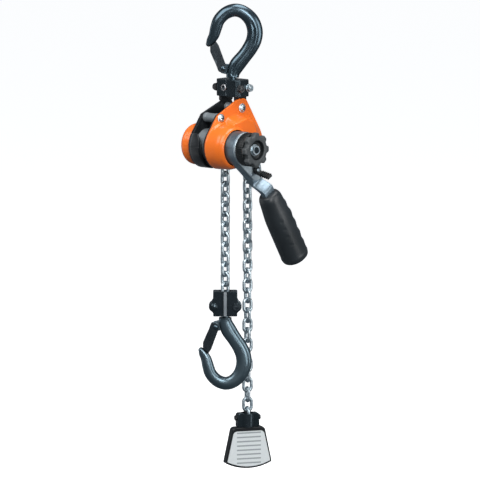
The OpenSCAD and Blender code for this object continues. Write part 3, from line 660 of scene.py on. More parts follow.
def hexagon(across, y0, y1, chamfer, centre=(0, 0), hole=0.0, turn=0.0):
    """Hex head or nut along Y, with chamfered corners."""
    r = across / math.sqrt(3)
    s = 1 if y1 > y0 else -1
    steps = 48

    def ring(y, limit):
        def reach(t):
            local = (t % (math.pi / 3)) - math.pi / 6
            return min(r * math.cos(math.pi / 6) / math.cos(local), limit)
        return polar(y, reach, steps, centre, turn)

    flat = r * 0.9
    rings = [ring(y0, flat), ring(y0 + s * chamfer, r), ring(y1 - s * chamfer, r), ring(y1, flat)]
    if hole:
        rings += [circle(y, hole, steps, centre, turn) for y in (y1, y0)]
        return loft(rings, loop=True)
    return loft(rings)


def stud_end(radius, y0, y1, centre):
    s = 1 if y1 > y0 else -1
    outline = [(radius, y0), (radius, y1 - s * 0.8), (radius - 0.7, y1 - s * 0.15), (0, y1)]
    return revolve(outline, 32, centre)


def bolt_and_nut(side, centre, y, across, radius, washer):
    """Bolt along Y: a domed round head with a lip on one side, a nut with its stud on the other."""
    head = [(0, side * (y + 4.2)), (across * 0.36, side * (y + 4.1)), (across * 0.5, side * (y + 3.4)),
            (across * 0.545, side * (y + 2.2)), (across * 0.545, side * (y + 0.9)),
            (across * 0.6, side * (y + 0.7)), (across * 0.6, side * y), (0, side * y)]
    nut = hexagon(across, -side * (y + washer), -side * (y + washer + 3.4), 0.45, centre, radius, 0.26)
    plate = tube(across * 0.62, radius, -side * y, -side * (y + washer), 0.2, 40, centre)
    end = stud_end(radius - 0.02, -side * y, -side * (y + washer + 4), centre)
    return merge(revolve(head, 40, centre), nut, plate, end)


def top_block():
    block_half(1, "top_block_rear_half", "top_block_rear")
    block_half(-1, "top_block_front_half", "top_block_front")
    ring_boss()
    for x, slot, name in ((BLOCK_BOLT_X, "zinc", "top_block_screw_right"),
                          (-BLOCK_BOLT_X, "black", "top_block_screw_left")):
        part = bolt_and_nut(1, (x, BLOCK_BOLT_Z), BLOCK_HALF_Y, 7.8, 2.25, 0.6)
        put(name, "hoist_body", slot, *part, replaces=("top_block_bolts",))


FRAME_CIRCLES = [(DRIVE_X, AXIS_Z, 27), (SHEAVE_X, AXIS_Z, 29), (DRIVE_X - 3, AXIS_Z + 33, 5),
                 (-4.5, AXIS_Z + 47, 7), (2.5, AXIS_Z + 47, 7)]


def plate_outline():
    """Outline of the frame's plates, with the ear that the top block clamps."""
    body = hull(FRAME_CIRCLES)
    start = next(i for i in range(len(body)) if body[i][0] > 12)
    body = body[start:] + body[:start]
    kept = [p for p in body if not (abs(p[0]) < 10.5 and p[1] > -125)]
    split = next(i for i in range(1, len(kept)) if kept[i][0] < -10 and kept[i - 1][0] > 10)
    ear = rounded([(10, -100, 2), (10, -79, 2.5), (-10, -79, 2.5), (-10, -100, 2)], 4)
    return kept[:split] + ear + kept[split:]


def skirt():
    """Wall along the drive side of the rear plate, which runs out towards its upper end."""
    outer = hull(FRAME_CIRCLES, 0, 360)
    inner = hull(FRAME_CIRCLES, -3.5, 360)
    start = next(i for i in range(360) if outer[i][0] > DRIVE_X + 8)
    rings = []
    back = FRAME_Y - REAR_PLATE_T + 0.5
    for i in range(360):
        (x, z), (u, w) = outer[(start + i) % 360], inner[(start + i) % 360]
        if x < DRIVE_X + 8 and z < AXIS_Z + 24:
            front = -3 + 11.8 * smooth_step((z - AXIS_Z - 6) / 18)
            rings.append([(x, front, z), (x, back, z), (u, back, w), (u, front, w)])
    return loft(rings)


def frame_plates():
    outline = plate_outline()
    rear = put("frame_rear_plate", "hoist_body", "black", *prism(outline, 9, FRAME_Y), bevel=0.6,
               replaces=("frame_rear",))
    add(rear, skirt(), bevel=0.5)
    shade(rear)
    put("frame_front_plate", "hoist_body", "black", *prism(outline, -FRAME_Y, -FRAME_Y + FRONT_PLATE_T),
        bevel=0.4, replaces=("frame_front",))
    parts = []
    for centre in SCREW_AT:
        profile = [(0, 9), (4.9, 9), (5.5, 8.4), (5.5, 5), (5.2, 4.6), (5.2, -6.6), (5.5, -7), (5.5, -10.4),
                   (4.9, -11), (0, -11)]
        parts.append(revolve(profile, 48, centre))
    put("frame_spacer_sleeves", "hoist_body", "dull_steel", *merge(*parts), replaces=("frame_spacers",))
    flat = math.degrees(math.acos(14.4 / 21))
    rim = arc(DRIVE_X, AXIS_Z, 21, flat, 360 - flat, 72)
    step = arc(DRIVE_X, AXIS_Z, 19.6, flat - 2, 362 - flat, 72)
    hub = put("shaft_hub_ring", "hoist_body", "dull_steel", *prism(rim, -11, -5.5), bevel=0.5,
              replaces=("shaft_hub",))
    add(hub, prism(step, -8, 9), bevel=0.4)
    shade(hub)


# ---------- covers ----------

# Flat top of the cover's raised facet and the foot of its slopes, from the drive shaft
FACET_TOP = [(6.5, 25.5), (30, 31.5), (40.5, 26.5), (45.5, 17), (47, 2), (42, -8), (24, -10)]
FACET_FOOT = [(-2, 24), (10, 33.6), (24, 35.2), (43, 34)] + arc(42, 0, 28.3, 55, -60, 14) + [(30, -22)]
FACET_Y = -29


def to_polygon(x, z, polygon):
    """Distance from a point to a polygon, negative inside."""
    best, inside = 1e9, False
    for (ax, az), (bx, bz) in zip(polygon, polygon[1:] + polygon[:1]):
        ex, ez = bx - ax, bz - az
        t = min(max(((x - ax) * ex + (z - az) * ez) / (ex * ex + ez * ez), 0), 1)
        best = min(best, math.hypot(x - ax - t * ex, z - az - t * ez))
        if (az > z) != (bz > z) and x < ax + (z - az) * ex / ez:
            inside = not inside
    return -best if inside else best


def facet_height(x, z):
    """How far the cover's facet stands out of the flange at a point, from 0 to 1."""
    foot = to_polygon(x, z, FACET_FOOT)
    if foot >= 0:
        return 0.0
    top = to_polygon(x, z, FACET_TOP)
    if top <= 0:
        return 1.0
    t = -foot / (top - foot)
    return t * 0.86 + smooth_step(t) * 0.14


def reach_in(outline, angle, centre):
    """Distance from a centre to a convex outline, in one direction."""
    dx, dz = math.cos(angle), math.sin(angle)
    for (ax, az), (bx, bz) in zip(outline, outline[1:] + outline[:1]):
        ex, ez = bx - ax, bz - az
        cross = dx * ez - dz * ex
        if abs(cross) < 1e-9:
            continue
        px, pz = ax - centre[0], az - centre[1]
        t = (px * ez - pz * ex) / cross
        s = (px * dz - pz * dx) / cross
        if t > 0 and -1e-6 <= s <= 1 + 1e-6:
            return t
    raise ValueError("the centre is outside the outline")


def smooth_low(a, b, width):
    """The lower of two depths, with a fillet where they meet."""
    h = min(max(0.5 + 0.5 * (b - a) / width, 0), 1)
    return b * (1 - h) + a * h - width * h * (1 - h)


def collar_profile():
    """Radius and depth from the cover's opening, over its rounded collar, down to the flange."""
    lip = [(OPENING_R, -31), (OPENING_R, -37.5), (OPENING_R + 0.25, -38.6)]
    crown = [(OPENING_R + 0.3 + 4.2 * math.sin(math.radians(a)), -33 - 6.9 * math.cos(math.radians(a)))
             for a in range(8, 91, 8)]
    wall = [(COLLAR_R + 0.15, -31), (COLLAR_R + 0.35, -27), (COLLAR_R + 0.5, -23), (COLLAR_R + 0.6, -20)]
    return lip + crown + wall


COVER_STEPS = 288
FLANGE_STEPS = 34


def flange_points(edge):
    """Radius and depth over the flange, from the collar's foot to an edge at a given radius."""
    foot = COLLAR_R + 0.65
    room = max(edge - foot, 0.2)
    points = []
    for i in range(1, FLANGE_STEPS + 1):
        r = foot + (room - 0.15) * i / FLANGE_STEPS
        fillet = 5.5 * math.exp(-(r - foot) / 2.2) if room > 2 else 3 * (1 - i / FLANGE_STEPS)
        points.append((r, FLANGE_Y - fillet))
    return points + [(edge - 0.02, FLANGE_Y + 0.25), (edge, FLANGE_Y + 0.9), (edge, -FRAME_Y - 0.02)]


def cover_column(turn, outline):
    """Points of the cover in one direction from the drive shaft, from its opening to its edge."""
    edge = reach_in(outline, turn, (DRIVE_X, AXIS_Z))
    points = collar_profile() + flange_points(edge)
    column = []
    for i, (r, y) in enumerate(points):
        x, z = r * math.cos(turn), r * math.sin(turn)
        if 3 <= i < len(points) - 3:
            out = facet_height(x, z) * (1 - smooth_step((r - edge + 1.6) / 1.4))
            if out > 0:
                y = smooth_low(y, FLANGE_Y + (FACET_Y - FLANGE_Y) * out, 1.6)
        column.append((DRIVE_X + x, y, AXIS_Z + z))
    return column


def front_cover():
    """Pressed cover: a flange, a deep collar round the lever drum, and a raised facet."""
    outline = hull(FRAME_CIRCLES, 0, 360)
    columns = [cover_column(2 * math.pi * k / COVER_STEPS, outline) for k in range(COVER_STEPS)]
    rings = [list(ring) for ring in zip(*columns)]
    obj = put("front_cover_shell", "hoist_body", "orange", *loft(rings, caps=False),
              replaces=("front_cover",), angle=70)
    m = obj.modifiers.new("wall", "SOLIDIFY")
    m.thickness = COVER_WALL * MM
    m.offset = -1
    m.use_even_offset = True
    m.thickness_clamp = 1


REAR_CIRCLES = [(DRIVE_X, AXIS_Z, 24.5), (SHEAVE_X, AXIS_Z, 28.8)]


def rear_cover():
    """Cup over the gears, with a rounded edge, shallow grooves round it and a sunk face."""
    centre = Vector(((DRIVE_X + SHEAVE_X) / 2, 0, AXIS_Z))
    rings = []
    profile = [(0, 13.02), (0, 14.2)]
    for k in range(6):
        y = 15.2 + 1.5 * k
        profile += [(0, y), (-0.35, y + 0.5), (-0.35, y + 0.9), (0, y + 1.3)]
    soft = 6.0
    for a in range(0, 91, 10):
        t = math.radians(a)
        profile.append((-soft + soft * math.cos(t), REAR_COVER_Y - soft + soft * math.sin(t)))
    profile += [(-soft - 2, REAR_COVER_Y), (-soft - 3, REAR_COVER_Y - 0.7), (-soft - 9, REAR_COVER_Y - 0.9)]
    for grow, y in profile:
        rings.append([(x, y, z) for x, z in hull(REAR_CIRCLES, grow, 144)])
    face = Vector((0, REAR_COVER_Y - 0.9, 0))
    for share in (0.7, 0.4, 0.15):
        rings.append([tuple(centre + (Vector((x, 0, z)) - centre) * share + face)
                      for x, _, z in rings[-1]])
    inner = [[(x, y, z) for x, z in hull(REAR_CIRCLES, grow, 144)]
             for grow, y in ((-COVER_WALL, 13.02), (-COVER_WALL, 24.5), (-6, 28.2))]
    part = loft(list(reversed(inner)) + rings)
    put("rear_cover_cup", "hoist_body", "orange", *part, replaces=("rear_cover",), angle=40)


def screw_heads(name, body, places, y, side, washer_r, head_r, deep, replaced):
    """Pan heads with a collar and a cross recess, looking along side (1 or -1) of Y."""
    parts = []
    for centre in places:
        profile = [(0, y), (washer_r - 0.1, y), (washer_r, y + side * 0.35),
                   (washer_r - 0.25, y + side * 1.0), (head_r + 0.3, y + side * 1.15),
                   (head_r, y + side * 1.5), (head_r - 0.15, y + side * (deep - 1.1)),
                   (head_r * 0.8, y + side * (deep - 0.4)), (head_r * 0.45, y + side * (deep - 0.05)),
                   (0, y + side * deep)]
        parts.append(revolve(profile, 48, centre))
    obj = put(name, body, "zinc", *merge(*parts), replaces=replaced)
    for i, centre in enumerate(places):
        for turn in (20 + 31 * i, 110 + 31 * i):
            at = Matrix.Translation((centre[0], y + side * (deep - 0.6), centre[1]))
            at = at @ Matrix.Rotation(math.radians(turn), 4, "Y")
            half = head_r * 0.68
            shaded_cross_cutter = upright_prism([(-half, -0.9), (half, -0.9), (half, 0.9), (-half, 0.9)], -0.6, 0.6)
            # The cut faces take the black finish: painted shade in the cross recess.
            cut(obj, shaded_cross_cutter, at, finish="black")
    shade(obj)


def covers():
    front_cover()
    rear_cover()
    screw_heads("front_cover_screws", "hoist_body", SCREW_AT, FLANGE_Y, -1, 5.6, 4.2, 3.4,
                ("cover_screws",))
    screw_heads("rear_cover_screw_heads", "hoist_body", REAR_SCREW_AT, REAR_COVER_Y - 1.2, 1, 3.6, 2.9, 3.0,
                ("rear_cover_screws",))


# ---------- lever ----------

def head_outline(grow=0.0):
    """Outline of the lever's head: round on the shaft, drawn in towards the arm."""
    big, small, drop = DRUM_R + grow, 9 + grow, 35
    lean = math.degrees(math.asin((big - small) / drop))
    return arc(0, 0, big, -lean, 180 + lean, 56) + arc(0, -drop, small, 180 + lean, 360 - lean, 24)


def arm_section(z):
    """Rounded section of the arm at a height: it dips behind the head's end, then steps out to the grip."""
    dip = 2.8 * smooth_step((-42.5 - z) / 4.3)
    front = -53.4 + dip - 12.9 * smooth_step((-46.8 - z) / 12.5)
    back = -41.7 - 14.8 * smooth_step((-42.0 - z) / 20)
    half = ARM_W / 2
    return [(x, y, z) for x, y in rounded([(-half, front, 0.9), (half, front, 0.9), (half, back, 0.9),
                                           (-half, back, 0.9)], 4)]


def arm_part():
    heights = [-38 - 0.8 * k for k in range(36)] + [-75, -110, -150]
    return loft([arm_section(z) for z in heights])


def lever_arm():
    head = prism(head_outline(), HEAD_Y0, HEAD_Y1 + 2)
    obj = put("lever_arm_body", "lever", "blue_steel", *head, at=AT_LEVER, bevel=0.7,
              replaces=("lever_arm",))
    drum = revolve([(9.2, DRUM_Y), (DRUM_R - 0.6, DRUM_Y), (DRUM_R, DRUM_Y - 0.6),
                    (DRUM_R, HEAD_Y0 - 0.6), (9.2, HEAD_Y0 - 0.6), (9.2, DRUM_Y)], 96)
    add(obj, drum, AT_LEVER)
    add(obj, arm_part(), AT_LEVER)
    bore = revolve([(0, -30), (LEVER_BORE_R, -30), (LEVER_BORE_R, -60), (0, -60)], 64)
    cut(obj, bore, AT_LEVER)
    pocket = prism(head_outline(-2.4), HEAD_Y0 - 2.5, HEAD_Y1 + 1)
    cut(obj, pocket, AT_LEVER)
    shade(obj)


def lever_cover():
    obj = put("lever_cover_plate", "lever", "zinc", *prism(head_outline(-0.1), HEAD_Y1, HEAD_Y1 + 1.95),
              at=AT_LEVER, bevel=0.6, replaces=("lever_cover",))
    bore = revolve([(0, -50), (7.6, -50), (7.6, -60), (0, -60)], 64)
    cut(obj, bore, AT_LEVER)
    shade(obj)


RIVETS = [(-8, -31.5), (8, -31.5)]


def lever_rivets():
    parts = []
    for centre in RIVETS:
        profile = [(0, HEAD_Y1 + 1), (2, HEAD_Y1 + 1), (2, HEAD_Y1 - 0.1), (1.8, HEAD_Y1 - 0.22),
                   (1.3, HEAD_Y1 - 0.22), (1.1, HEAD_Y1 + 0.2), (0, HEAD_Y1 + 0.25)]
        parts.append(revolve(profile, 32, centre))
    put("lever_rivet_heads", "lever", "blue_steel", *merge(*parts), at=AT_LEVER,
        replaces=("lever_cover_rivets",))


def grip():
    """Moulded grip: a tapered oval with finger waves along one edge and a rim at its end."""
    around, steps = 72, 96
    rings = []
    length = LEVER_LEN - GRIP_START
    for i in range(steps + 1):
        s = i / steps
        h = -(GRIP_START + length * s)
        swell = 0.83 + 0.17 * smooth_step(s / 0.42)
        top = math.sqrt(max(1 - (1 - min(s / 0.09, 1)) ** 2, 0))
        end = math.sqrt(max(1 - max((s - 0.93) / 0.07, 0) ** 2.4, 0))
        rim = 0.35 * math.exp(-((s - 0.925) / 0.012) ** 2)
        size = swell * (0.66 + 0.34 * top) * (0.8 + 0.2 * end)
        wave = 0.85 * math.cos(2 * math.pi * (s - 0.2) / 0.155) * smooth_step((s - 0.12) / 0.08)
        wave *= smooth_step((0.88 - s) / 0.08)
        ring = []
        for k in range(around):
            t = 2 * math.pi * k / around
            c, q = math.cos(t), math.sin(t)
            x = math.copysign(abs(c) ** 0.88, c) * (16.8 * size + rim)
            y = math.copysign(abs(q) ** 0.9, q) * (15.3 * size + rim)
            x += (wave - 0.4) * max(c, 0) ** 1.5
            for dimple in range(4):
                away = math.hypot((s - 0.36 - 0.115 * dimple) * length, (t - 1.32 * math.pi) * 15)
                y += 0.55 * math.exp(-(away / 1.7) ** 2)
            ring.append((x, GRIP_Y + y, h))
        rings.append(ring)
    for share in (0.66, 0.3):
        rings.append([(x * share, GRIP_Y + (y - GRIP_Y) * share, z - 0.01) for x, y, z in rings[steps]])
    for share in (0.92, 0.6):
        rings.insert(0, [(x * share, GRIP_Y + (y - GRIP_Y) * share, z + 0.01) for x, y, z in rings[0]])
    put("lever_rubber_grip", "lever", "rubber", *loft(rings), at=AT_LEVER,
        replaces=("lever_grip",), angle=45)


def selector():
    """Thumb tab of the forward, reverse and free selector, with ribs across its end."""
    hub = revolve([(0, HEAD_Y1 - 0.35), (3.9, HEAD_Y1 - 0.35), (4.3, HEAD_Y1 - 0.8), (4.3, HEAD_Y1 - 3.8),
                   (3.7, HEAD_Y1 - 4.4), (0, HEAD_Y1 - 4.4)], 40)
    obj = put("selector_tab", "selector", "black_plastic", *hub, at=AT_PAWL, replaces=("selector",))
    stem = [(HEAD_Y1 - 0.4, 3), (HEAD_Y1 - 0.4, -4.2), (-62, -6.2), (-75.4, -9.7), (-75.9, -8.6),
            (-75.4, -7.2), (-63, -3.6), (HEAD_Y1 - 4.4, -2), (HEAD_Y1 - 4.4, 3)]
    left = [(-3.3, y, z) for y, z in stem]
    right = [(3.3, y, z) for y, z in stem]
    add(obj, loft([left, right]), AT_PAWL, bevel=0.4)
    for k in range(5):
        y, z = -63.1 - 2.6 * k, -7.1 - 0.72 * k
        rib = upright_prism([(-4.1, y), (4.1, y), (4.1, y - 1.2), (-4.1, y - 1.2)], z, z + 4.2)
        add(obj, rib, AT_PAWL, bevel=0.3)
    shade(obj, 35)
    pin = revolve([(0, -61.6), (1.5, -61.5), (2.2, -60.9), (2.3, -60.4), (2.3, -42), (0, -42)], 32)
    put("selector_rivet", "selector", "zinc", *pin, at=AT_PAWL, replaces=("selector_pin",))


def lever():
    lever_arm()
    lever_cover()
    lever_rivets()
    grip()
    selector()


# ---------- hand wheel ----------

def cup():
    """Ribbed cup of the hand wheel."""
    steps = 336
    ribs = 48

    def ribbed(t):
        return CUP_R + 0.4 * smooth_step((math.cos(ribs * t) + 0.2) / 0.9)

    rings = [circle(CUP_Y0, 5, steps), circle(CUP_Y0, CUP_R - 0.6, steps)]
    rings += [polar(y, ribbed, steps) for y in (CUP_Y0 - 0.5, CUP_Y1 + 0.7)]
    rings += [circle(CUP_Y1, CUP_R - 0.7, steps), circle(CUP_Y1, 5, steps)]
    put("hand_wheel_ribbed_cup", "drive", "black_plastic", *loft(rings, loop=True), at=AT_DRIVE,
        replaces=("hand_wheel_cup",), angle=40)


def star():
    """Eight-lobed knob with a round recess for the nut."""
    steps = 192
    lobes = 8

    def lobed(y, inset):
        def reach(t):
            lobe = 0.5 + 0.5 * math.cos(lobes * (t - math.pi / 2))
            return 17.4 + 3.3 * smooth_step((lobe - 0.12) / 0.7) - inset
        return polar(y, reach, steps)

    flank = [(CUP_Y1 - 0.02, 1.2), (CUP_Y1 - 0.8, 0.3), (CUP_Y1 - 1.8, 0), (STAR_Y1 + 1.5, 0),
             (STAR_Y1 + 0.55, 0.4), (STAR_Y1 + 0.1, 1.2), (STAR_Y1, 2.2)]
    recess = [(STAR_Y1, 12.4), (STAR_Y1 + 0.3, 11.8), (STAR_Y1 + 0.9, 11.5), (NUT_SEAT_Y - 0.4, 11.3),
              (NUT_SEAT_Y, 10.9), (NUT_SEAT_Y, 5)]
    rings = [circle(CUP_Y1 - 0.02, 5, steps)] + [lobed(y, inset) for y, inset in flank]
    rings += [circle(y, r, steps) for y, r in recess]
    obj = put("hand_wheel_star_knob", "drive", "knob", *loft(rings, loop=True), at=AT_DRIVE,
              replaces=("hand_wheel",), angle=50)
    # Faces deep in the nut's recess take black plastic, darker than the knob: painted shade in the recess.
    obj.data.materials.append(MATERIALS["black_plastic"])
    hole = 11.9 * MM
    for p in obj.data.polygons:
        place = AT_DRIVE.inverted() @ (p.center / MM)
        if math.hypot(place.x, place.z) * MM < hole and place.y > STAR_Y1 + 0.5:
            p.material_index = 1


def wheel_nut():
    nut = hexagon(10.9, -68.9, -71.6, 0.5, hole=3.9, turn=0.2)
    collar = tube(7, 3.9, -68.05, -68.95, 0.25, 48)
    put("hand_wheel_lock_nut", "drive", "zinc", *merge(nut, collar), at=AT_DRIVE,
        replaces=("hand_wheel_nut",))
    end = revolve([(3.8, -68.05), (3.8, -69.8), (3.2, -70.3), (1.7, -70.3), (1.5, -69.7), (0, -69.5)], 40)
    put("hand_wheel_stud_end", "drive", "block_black", *end, at=AT_DRIVE)


# ---------- chain ----------

def link_part():
    """Welded link, its length along Z and its width along X, a little thicker at the weld."""
    along, around = 44, 16
    half_w = (LINK_W - 2 * WIRE_R) / 2
    end_z = CHAIN_PITCH / 2 + WIRE_R + 0.025 - half_w
    straight, bend = 2 * end_z, math.pi * half_w
    total = 2 * (straight + bend)
    rings = []
    for i in range(along):
        s = total * i / along
        if s < straight:
            centre, out = Vector((half_w, 0, -end_z + s)), Vector((1, 0, 0))
        elif s < straight + bend:
            t = (s - straight) / half_w
            out = Vector((math.cos(t), 0, math.sin(t)))
            centre = Vector((0, 0, end_z)) + out * half_w
        elif s < 2 * straight + bend:
            centre, out = Vector((-half_w, 0, end_z - (s - straight - bend))), Vector((-1, 0, 0))
        else:
            t = math.pi + (s - 2 * straight - bend) / half_w
            out = Vector((math.cos(t), 0, math.sin(t)))
            centre = Vector((0, 0, -end_z)) + out * half_w
        weld = 1 + 0.05 * math.exp(-((s - straight / 2) / 0.7) ** 2)
        turns = [2 * math.pi * k / around for k in range(around)]
        rings.append([tuple(centre + WIRE_R * weld * (out * math.cos(t) + Vector((0, 1, 0)) * math.sin(t)))
                      for t in turns])
    return loft(rings, loop=True)


def fall_part(count, x, twist=0.0):
    """Straight fall of links that turns evenly from the sheave's plane by a twist at its end."""
    link = link_part()
    parts = []
    for i in range(count):
        at = Matrix.Translation((x, 0, AXIS_Z - CHAIN_PITCH * (i + 0.5)))
        at = at @ Matrix.Rotation(twist * i / (count - 1), 4, "Z")
        if i % 2:
            at = at @ Matrix.Rotation(math.pi / 2, 4, "Z")
        parts.append(moved(link, at))
    return merge(*parts)


def sheave_part():
    """Links over the top of the sheave, flat and upright in turn."""
    link = link_part()
    parts = []
    for i in range(POCKETS):
        flat = i % 2 == 0
        at = AT_SHEAVE @ Matrix.Rotation(math.pi / 2 - LINK_TURN * (i + 0.5), 4, "Y")
        at = at @ Matrix.Translation((0, 0, FLAT_LINK_R if flat else LINK_R))
        at = at @ Matrix.Rotation(math.pi / 2, 4, "Y")
        if flat:
            at = at @ Matrix.Rotation(math.pi / 2, 4, "Z")
        parts.append(moved(link, at))
    return merge(*parts)


def chains():
    put("load_fall_links", "load_fall", "zinc", *fall_part(LOAD_LINKS, FALL_X),
        replaces=("load_chain",), angle=60)
    put("slack_fall_links", "slack_fall", "zinc", *fall_part(SLACK_LINKS, SLACK_X, TAG_YAW),
        replaces=("slack_chain",), angle=60)
    put("sheave_links", "sheave", "zinc", *sheave_part(), replaces=("sheave_chain",), angle=60)


# ---------- lower block, clamp and tag ----------

def lower_block_outline():
    """Face of the lower block: straight sides, each with a lobe for its bolt."""
    top, bottom, foot = LOWER_TOP, LOWER_BOTTOM, LOWER_BOTTOM + 4
    lobe = arc(WING_U, WING_Z, 6, 62, -62, 12)
    right = [(13.6, top), (14.5, top - 0.9), (14.5, WING_Z + 8.5)] + lobe + [(14.3, foot), (14.3, bottom)]
    return right + [(-u, z) for u, z in reversed(right)]


def lower_block_half(side, name, replaced):
    y0, y1 = (0.05, 8.5) if side > 0 else (-8.5, -0.05)
    obj = put(name, "load_fall", "block_black", *prism(lower_block_outline(), y0, y1), at=LOWER_BLOCK,
              bevel=1.0, replaces=(replaced,))
    edge = math.degrees(math.acos(0.05 / 10))
    half = arc(0, 0, 10, edge, 180 - edge, 36) if side > 0 else arc(0, 0, 10, 180 + edge, 360 - edge, 36)
    ridge = upright_prism(half, LOWER_BOTTOM, LOWER_TOP)
    add(obj, ridge, LOWER_BLOCK, bevel=0.6)
    # A narrow bead along the ridge's crest; its lighter dull steel faces are a painted highlight.
    crest = [(-2, side * 9.5), (-1.6, side * 10.5), (1.6, side * 10.5), (2, side * 9.5)]
    crest_highlight_bar = upright_prism(crest, LOWER_BOTTOM + 0.6, LOWER_TOP - 0.6)
    add(obj, crest_highlight_bar, LOWER_BLOCK, finish="dull_steel")
    for r, low, high in ((7.6, 320, 346.2), (8, 347.1, 352.4), (4.7, 340, 365)):
        well = revolve([(0, low), (r, low), (r, high), (0, high)], 48)
        cut(obj, upright(well), LOWER_BLOCK)
    shade(obj)


def lower_block():
    lower_block_half(-1, "lower_block_front_half", "lower_block_front")
    lower_block_half(1, "lower_block_rear_half", "lower_block_rear")
    parts = [bolt_and_nut(side, (side * WING_U, WING_Z), 8.5, 7.6, 2, 0.4) for side in (-1, 1)]
    put("lower_block_screws", "load_fall", "block_black", *merge(*parts), at=LOWER_BLOCK,
        replaces=("lower_block_bolts",))


def end_clamp():
    outline = rounded([(-13.5, CLAMP_TOP, 3), (13.5, CLAMP_TOP, 3), (13.5, CLAMP_BOTTOM, 1.2),
                       (-13.5, CLAMP_BOTTOM, 1.2)])
    obj = put("end_clamp_body", "slack_fall", "block_black", *prism(outline, -5.5, 5.5), at=AT_TAG,
              bevel=0.9, replaces=("end_clamp",))
    ridge = upright(rod(9, -CLAMP_TOP, -CLAMP_BOTTOM, 0.8, 64))
    add(obj, ridge, AT_TAG)
    well = upright(revolve([(0, -CLAMP_TOP - 10), (7.2, -CLAMP_TOP - 10), (7.2, -CLAMP_BOTTOM - 3),
                            (0, -CLAMP_BOTTOM - 3)], 48))
    cut(obj, well, AT_TAG)
    shade(obj)
    side = AT_TAG @ Matrix.Translation((0, 0, CLAMP_TOP - 5.9)) @ Matrix.Rotation(math.pi / 2, 4, "Z")
    bolt = merge(hexagon(5.8, 13.52, 15.9, 0.35), stud_end(1.55, 13.5, 16.6, (0, 0)),
                 hexagon(5.8, -13.52, -15.9, 0.35), rod(1.55, -13.6, 13.6, 0.1))
    put("end_clamp_bolt", "slack_fall", "black", *bolt, at=side, replaces=("end_bolt",))


def tag_outline(grow=0.0, top=0.0):
    """Face of the tag: rounded shoulders, spreading sides and a curved foot."""
    radius = 62
    centre = TAG_BOTTOM + radius
    half_top, half_bottom = 20 + grow, 30 + grow
    r = radius + grow
    z0 = CLAMP_BOTTOM + grow - top
    slope = (half_bottom - half_top) / (CLAMP_BOTTOM - TAG_BOTTOM)
    x0 = half_top + slope * (CLAMP_BOTTOM - z0)
    reach = math.degrees(math.asin((half_bottom - 0.9) / r))
    foot = arc(0, centre, r, -90 + reach, -90 - reach, 30)
    shoulders = rounded([foot[-1] + (0.0,), (-x0, z0, 5), (x0, z0, 5), foot[0] + (0.0,)], 8)
    return shoulders[:-1] + foot[:-1]


def tag():
    front = -TAG_T / 2
    obj = put("end_tag_body", "slack_fall", "black", *prism(tag_outline(), front, TAG_T / 2), at=AT_TAG,
              bevel=1.3, segments=4, replaces=("end_tag",))
    cut(obj, prism(tag_outline(-2.1, 2.4), front - 1, front + 0.5), AT_TAG)
    shade(obj)
    part = prism(tag_outline(-2.3, 2.4), front - 0.15, front + 0.5)
    plate = put("tag_blank_label", "slack_fall", "label", *part, bevel=0.15, replaces=("tag_label",))
    plate.parent = None
    plate.matrix_world = Matrix.Translation(AT_TAG.translation * MM) @ Matrix.Rotation(TAG_YAW, 4, "Z")
    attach(plate, "slack_fall")


# ---------- inner parts, which keep their CAD shape ----------

INNER = {
    "block_black": ["drive_shaft"],
    "steel": ["top_hook_collar", "top_latch_spring", "pinion", "load_sheave", "load_gear",
              "chain_guide", "chain_stripper", "brake_hub", "brake_ratchet_disc", "pressure_nut",
              "brake_pawl", "brake_pawl_pin", "brake_pawl_spring", "lever_ratchet_wheel", "drive_pawl",
              "detent_spring", "lower_chain_pin", "lower_hook_collar", "lower_latch_spring"],
    "bronze": ["drive_bushes", "sheave_bushes"],
    "lining": ["brake_linings"],
}


def inner_parts():
    for slot, names in INNER.items():
        for name in names:
            mesh = frame["nodes"][name].data
            mesh.materials.clear()
            mesh.materials.append(MATERIALS[slot])


# ---------- studio ----------

def area_light(name, place, aim, width, height, power):
    data = bpy.data.lights.new(name, "AREA")
    data.shape = "RECTANGLE"
    data.size, data.size_y = width, height
    data.energy = power
    obj = bpy.data.objects.new(name, data)
    bpy.context.scene.collection.objects.link(obj)
    obj.location = place
    obj.rotation_euler = (Vector(aim) - Vector(place)).to_track_quat("-Z", "Y").to_euler()
    obj.visible_camera = False
    return obj


CAMERA_AZIMUTH = math.radians(-47)
CAMERA_ELEVATION = math.radians(8)
CAMERA_DISTANCE = 6.0
FRAME_WIDTH = 0.571
AIM = Vector((0.0059, -0.0064, -0.2666))


def camera_back():
    a, e = CAMERA_AZIMUTH, CAMERA_ELEVATION
    return Vector((math.sin(a) * math.cos(e), -math.cos(a) * math.cos(e), math.sin(e)))


def camera():
    data = bpy.data.cameras.new("camera")
    data.lens = data.sensor_width * CAMERA_DISTANCE / FRAME_WIDTH
    obj = bpy.data.objects.new("camera", data)
    bpy.context.scene.collection.objects.link(obj)
    back = camera_back()
    obj.location = AIM + back * CAMERA_DISTANCE
    obj.rotation_euler = back.to_track_quat("Z", "Y").to_euler()
    bpy.context.scene.camera = obj


def stage_material(name, colour, glow):
    m, _, _, shader = node_material(name)
    shader.inputs["Base Color"].default_value = (*colour, 1)
    shader.inputs["Roughness"].default_value = 0.9
    shader.inputs["Specular IOR Level"].default_value = 0.0
    shader.inputs["Emission Color"].default_value = (1, 1, 1, 1)
    shader.inputs["Emission Strength"].default_value = glow
    return m


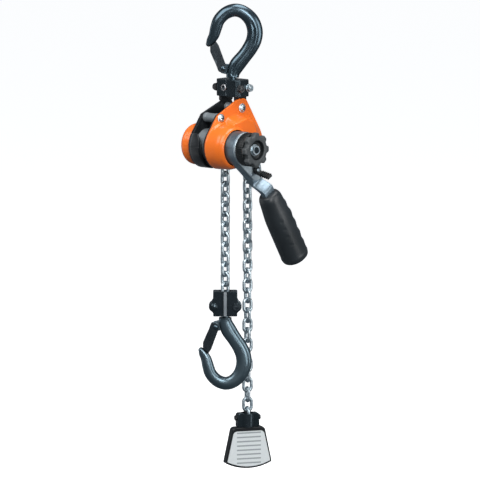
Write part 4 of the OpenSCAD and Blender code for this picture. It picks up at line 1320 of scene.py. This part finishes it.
def studio():
    """Pale floor that turns up into a round pale backdrop, far behind the object."""
    floor_z, radius, soft, high = -0.62, 10.0, 3.0, 8.0
    steps = 96
    profile = [(0.05, floor_z), (radius - soft, floor_z)]
    for a in range(10, 91, 10):
        t = math.radians(a)
        profile.append((radius - soft + soft * math.sin(t), floor_z + soft - soft * math.cos(t)))
    profile.append((radius, high))
    rings = [[(r * math.cos(2 * math.pi * k / steps), r * math.sin(2 * math.pi * k / steps), z)
              for k in range(steps)] for r, z in profile]
    verts, faces = loft(rings, caps=False)
    faces.append(tuple(reversed(range(steps))))
    mesh = bpy.data.meshes.new("studio_sweep")
    mesh.from_pydata(verts, [], faces)
    for p in mesh.polygons:
        p.use_smooth = True
    mesh.materials.append(stage_material("studio_white", (0.8, 0.8, 0.8), 0.86))
    obj = bpy.data.objects.new("studio_sweep", mesh)
    bpy.context.scene.collection.objects.link(obj)
    obj.visible_glossy = False
    obj.visible_diffuse = False


def lights():
    back = camera_back()
    right = Vector((math.cos(CAMERA_AZIMUTH), math.sin(CAMERA_AZIMUTH), 0))
    up = Vector((0, 0, 1))

    def place(b, r, u):
        return AIM + back * b + right * r + up * u

    area_light("key", place(0.8, -0.75, 0.95), AIM, 1.0, 1.0, 15)
    area_light("front", place(1.5, 0.4, 0.35), AIM, 0.4, 1.1, 16)
    area_light("top", place(0.1, 0.25, 1.3), AIM, 0.9, 0.7, 11)
    area_light("right", place(0.6, 1.2, 0.1), AIM, 0.45, 1.2, 8)
    area_light("left", place(-0.3, -1.2, 0.05), AIM, 0.3, 1.2, 2)
    world = bpy.data.worlds.new("studio")
    world.use_nodes = True
    world.node_tree.nodes["Background"].inputs["Color"].default_value = (0.8, 0.9, 1, 1)
    world.node_tree.nodes["Background"].inputs["Strength"].default_value = 0.16
    bpy.context.scene.world = world
    bpy.context.scene.view_settings.view_transform = "Standard"


hooks()
top_block()
frame_plates()
covers()
lever()
cup()
star()
wheel_nut()
chains()
lower_block()
end_clamp()
tag()
inner_parts()
studio()
lights()
camera()
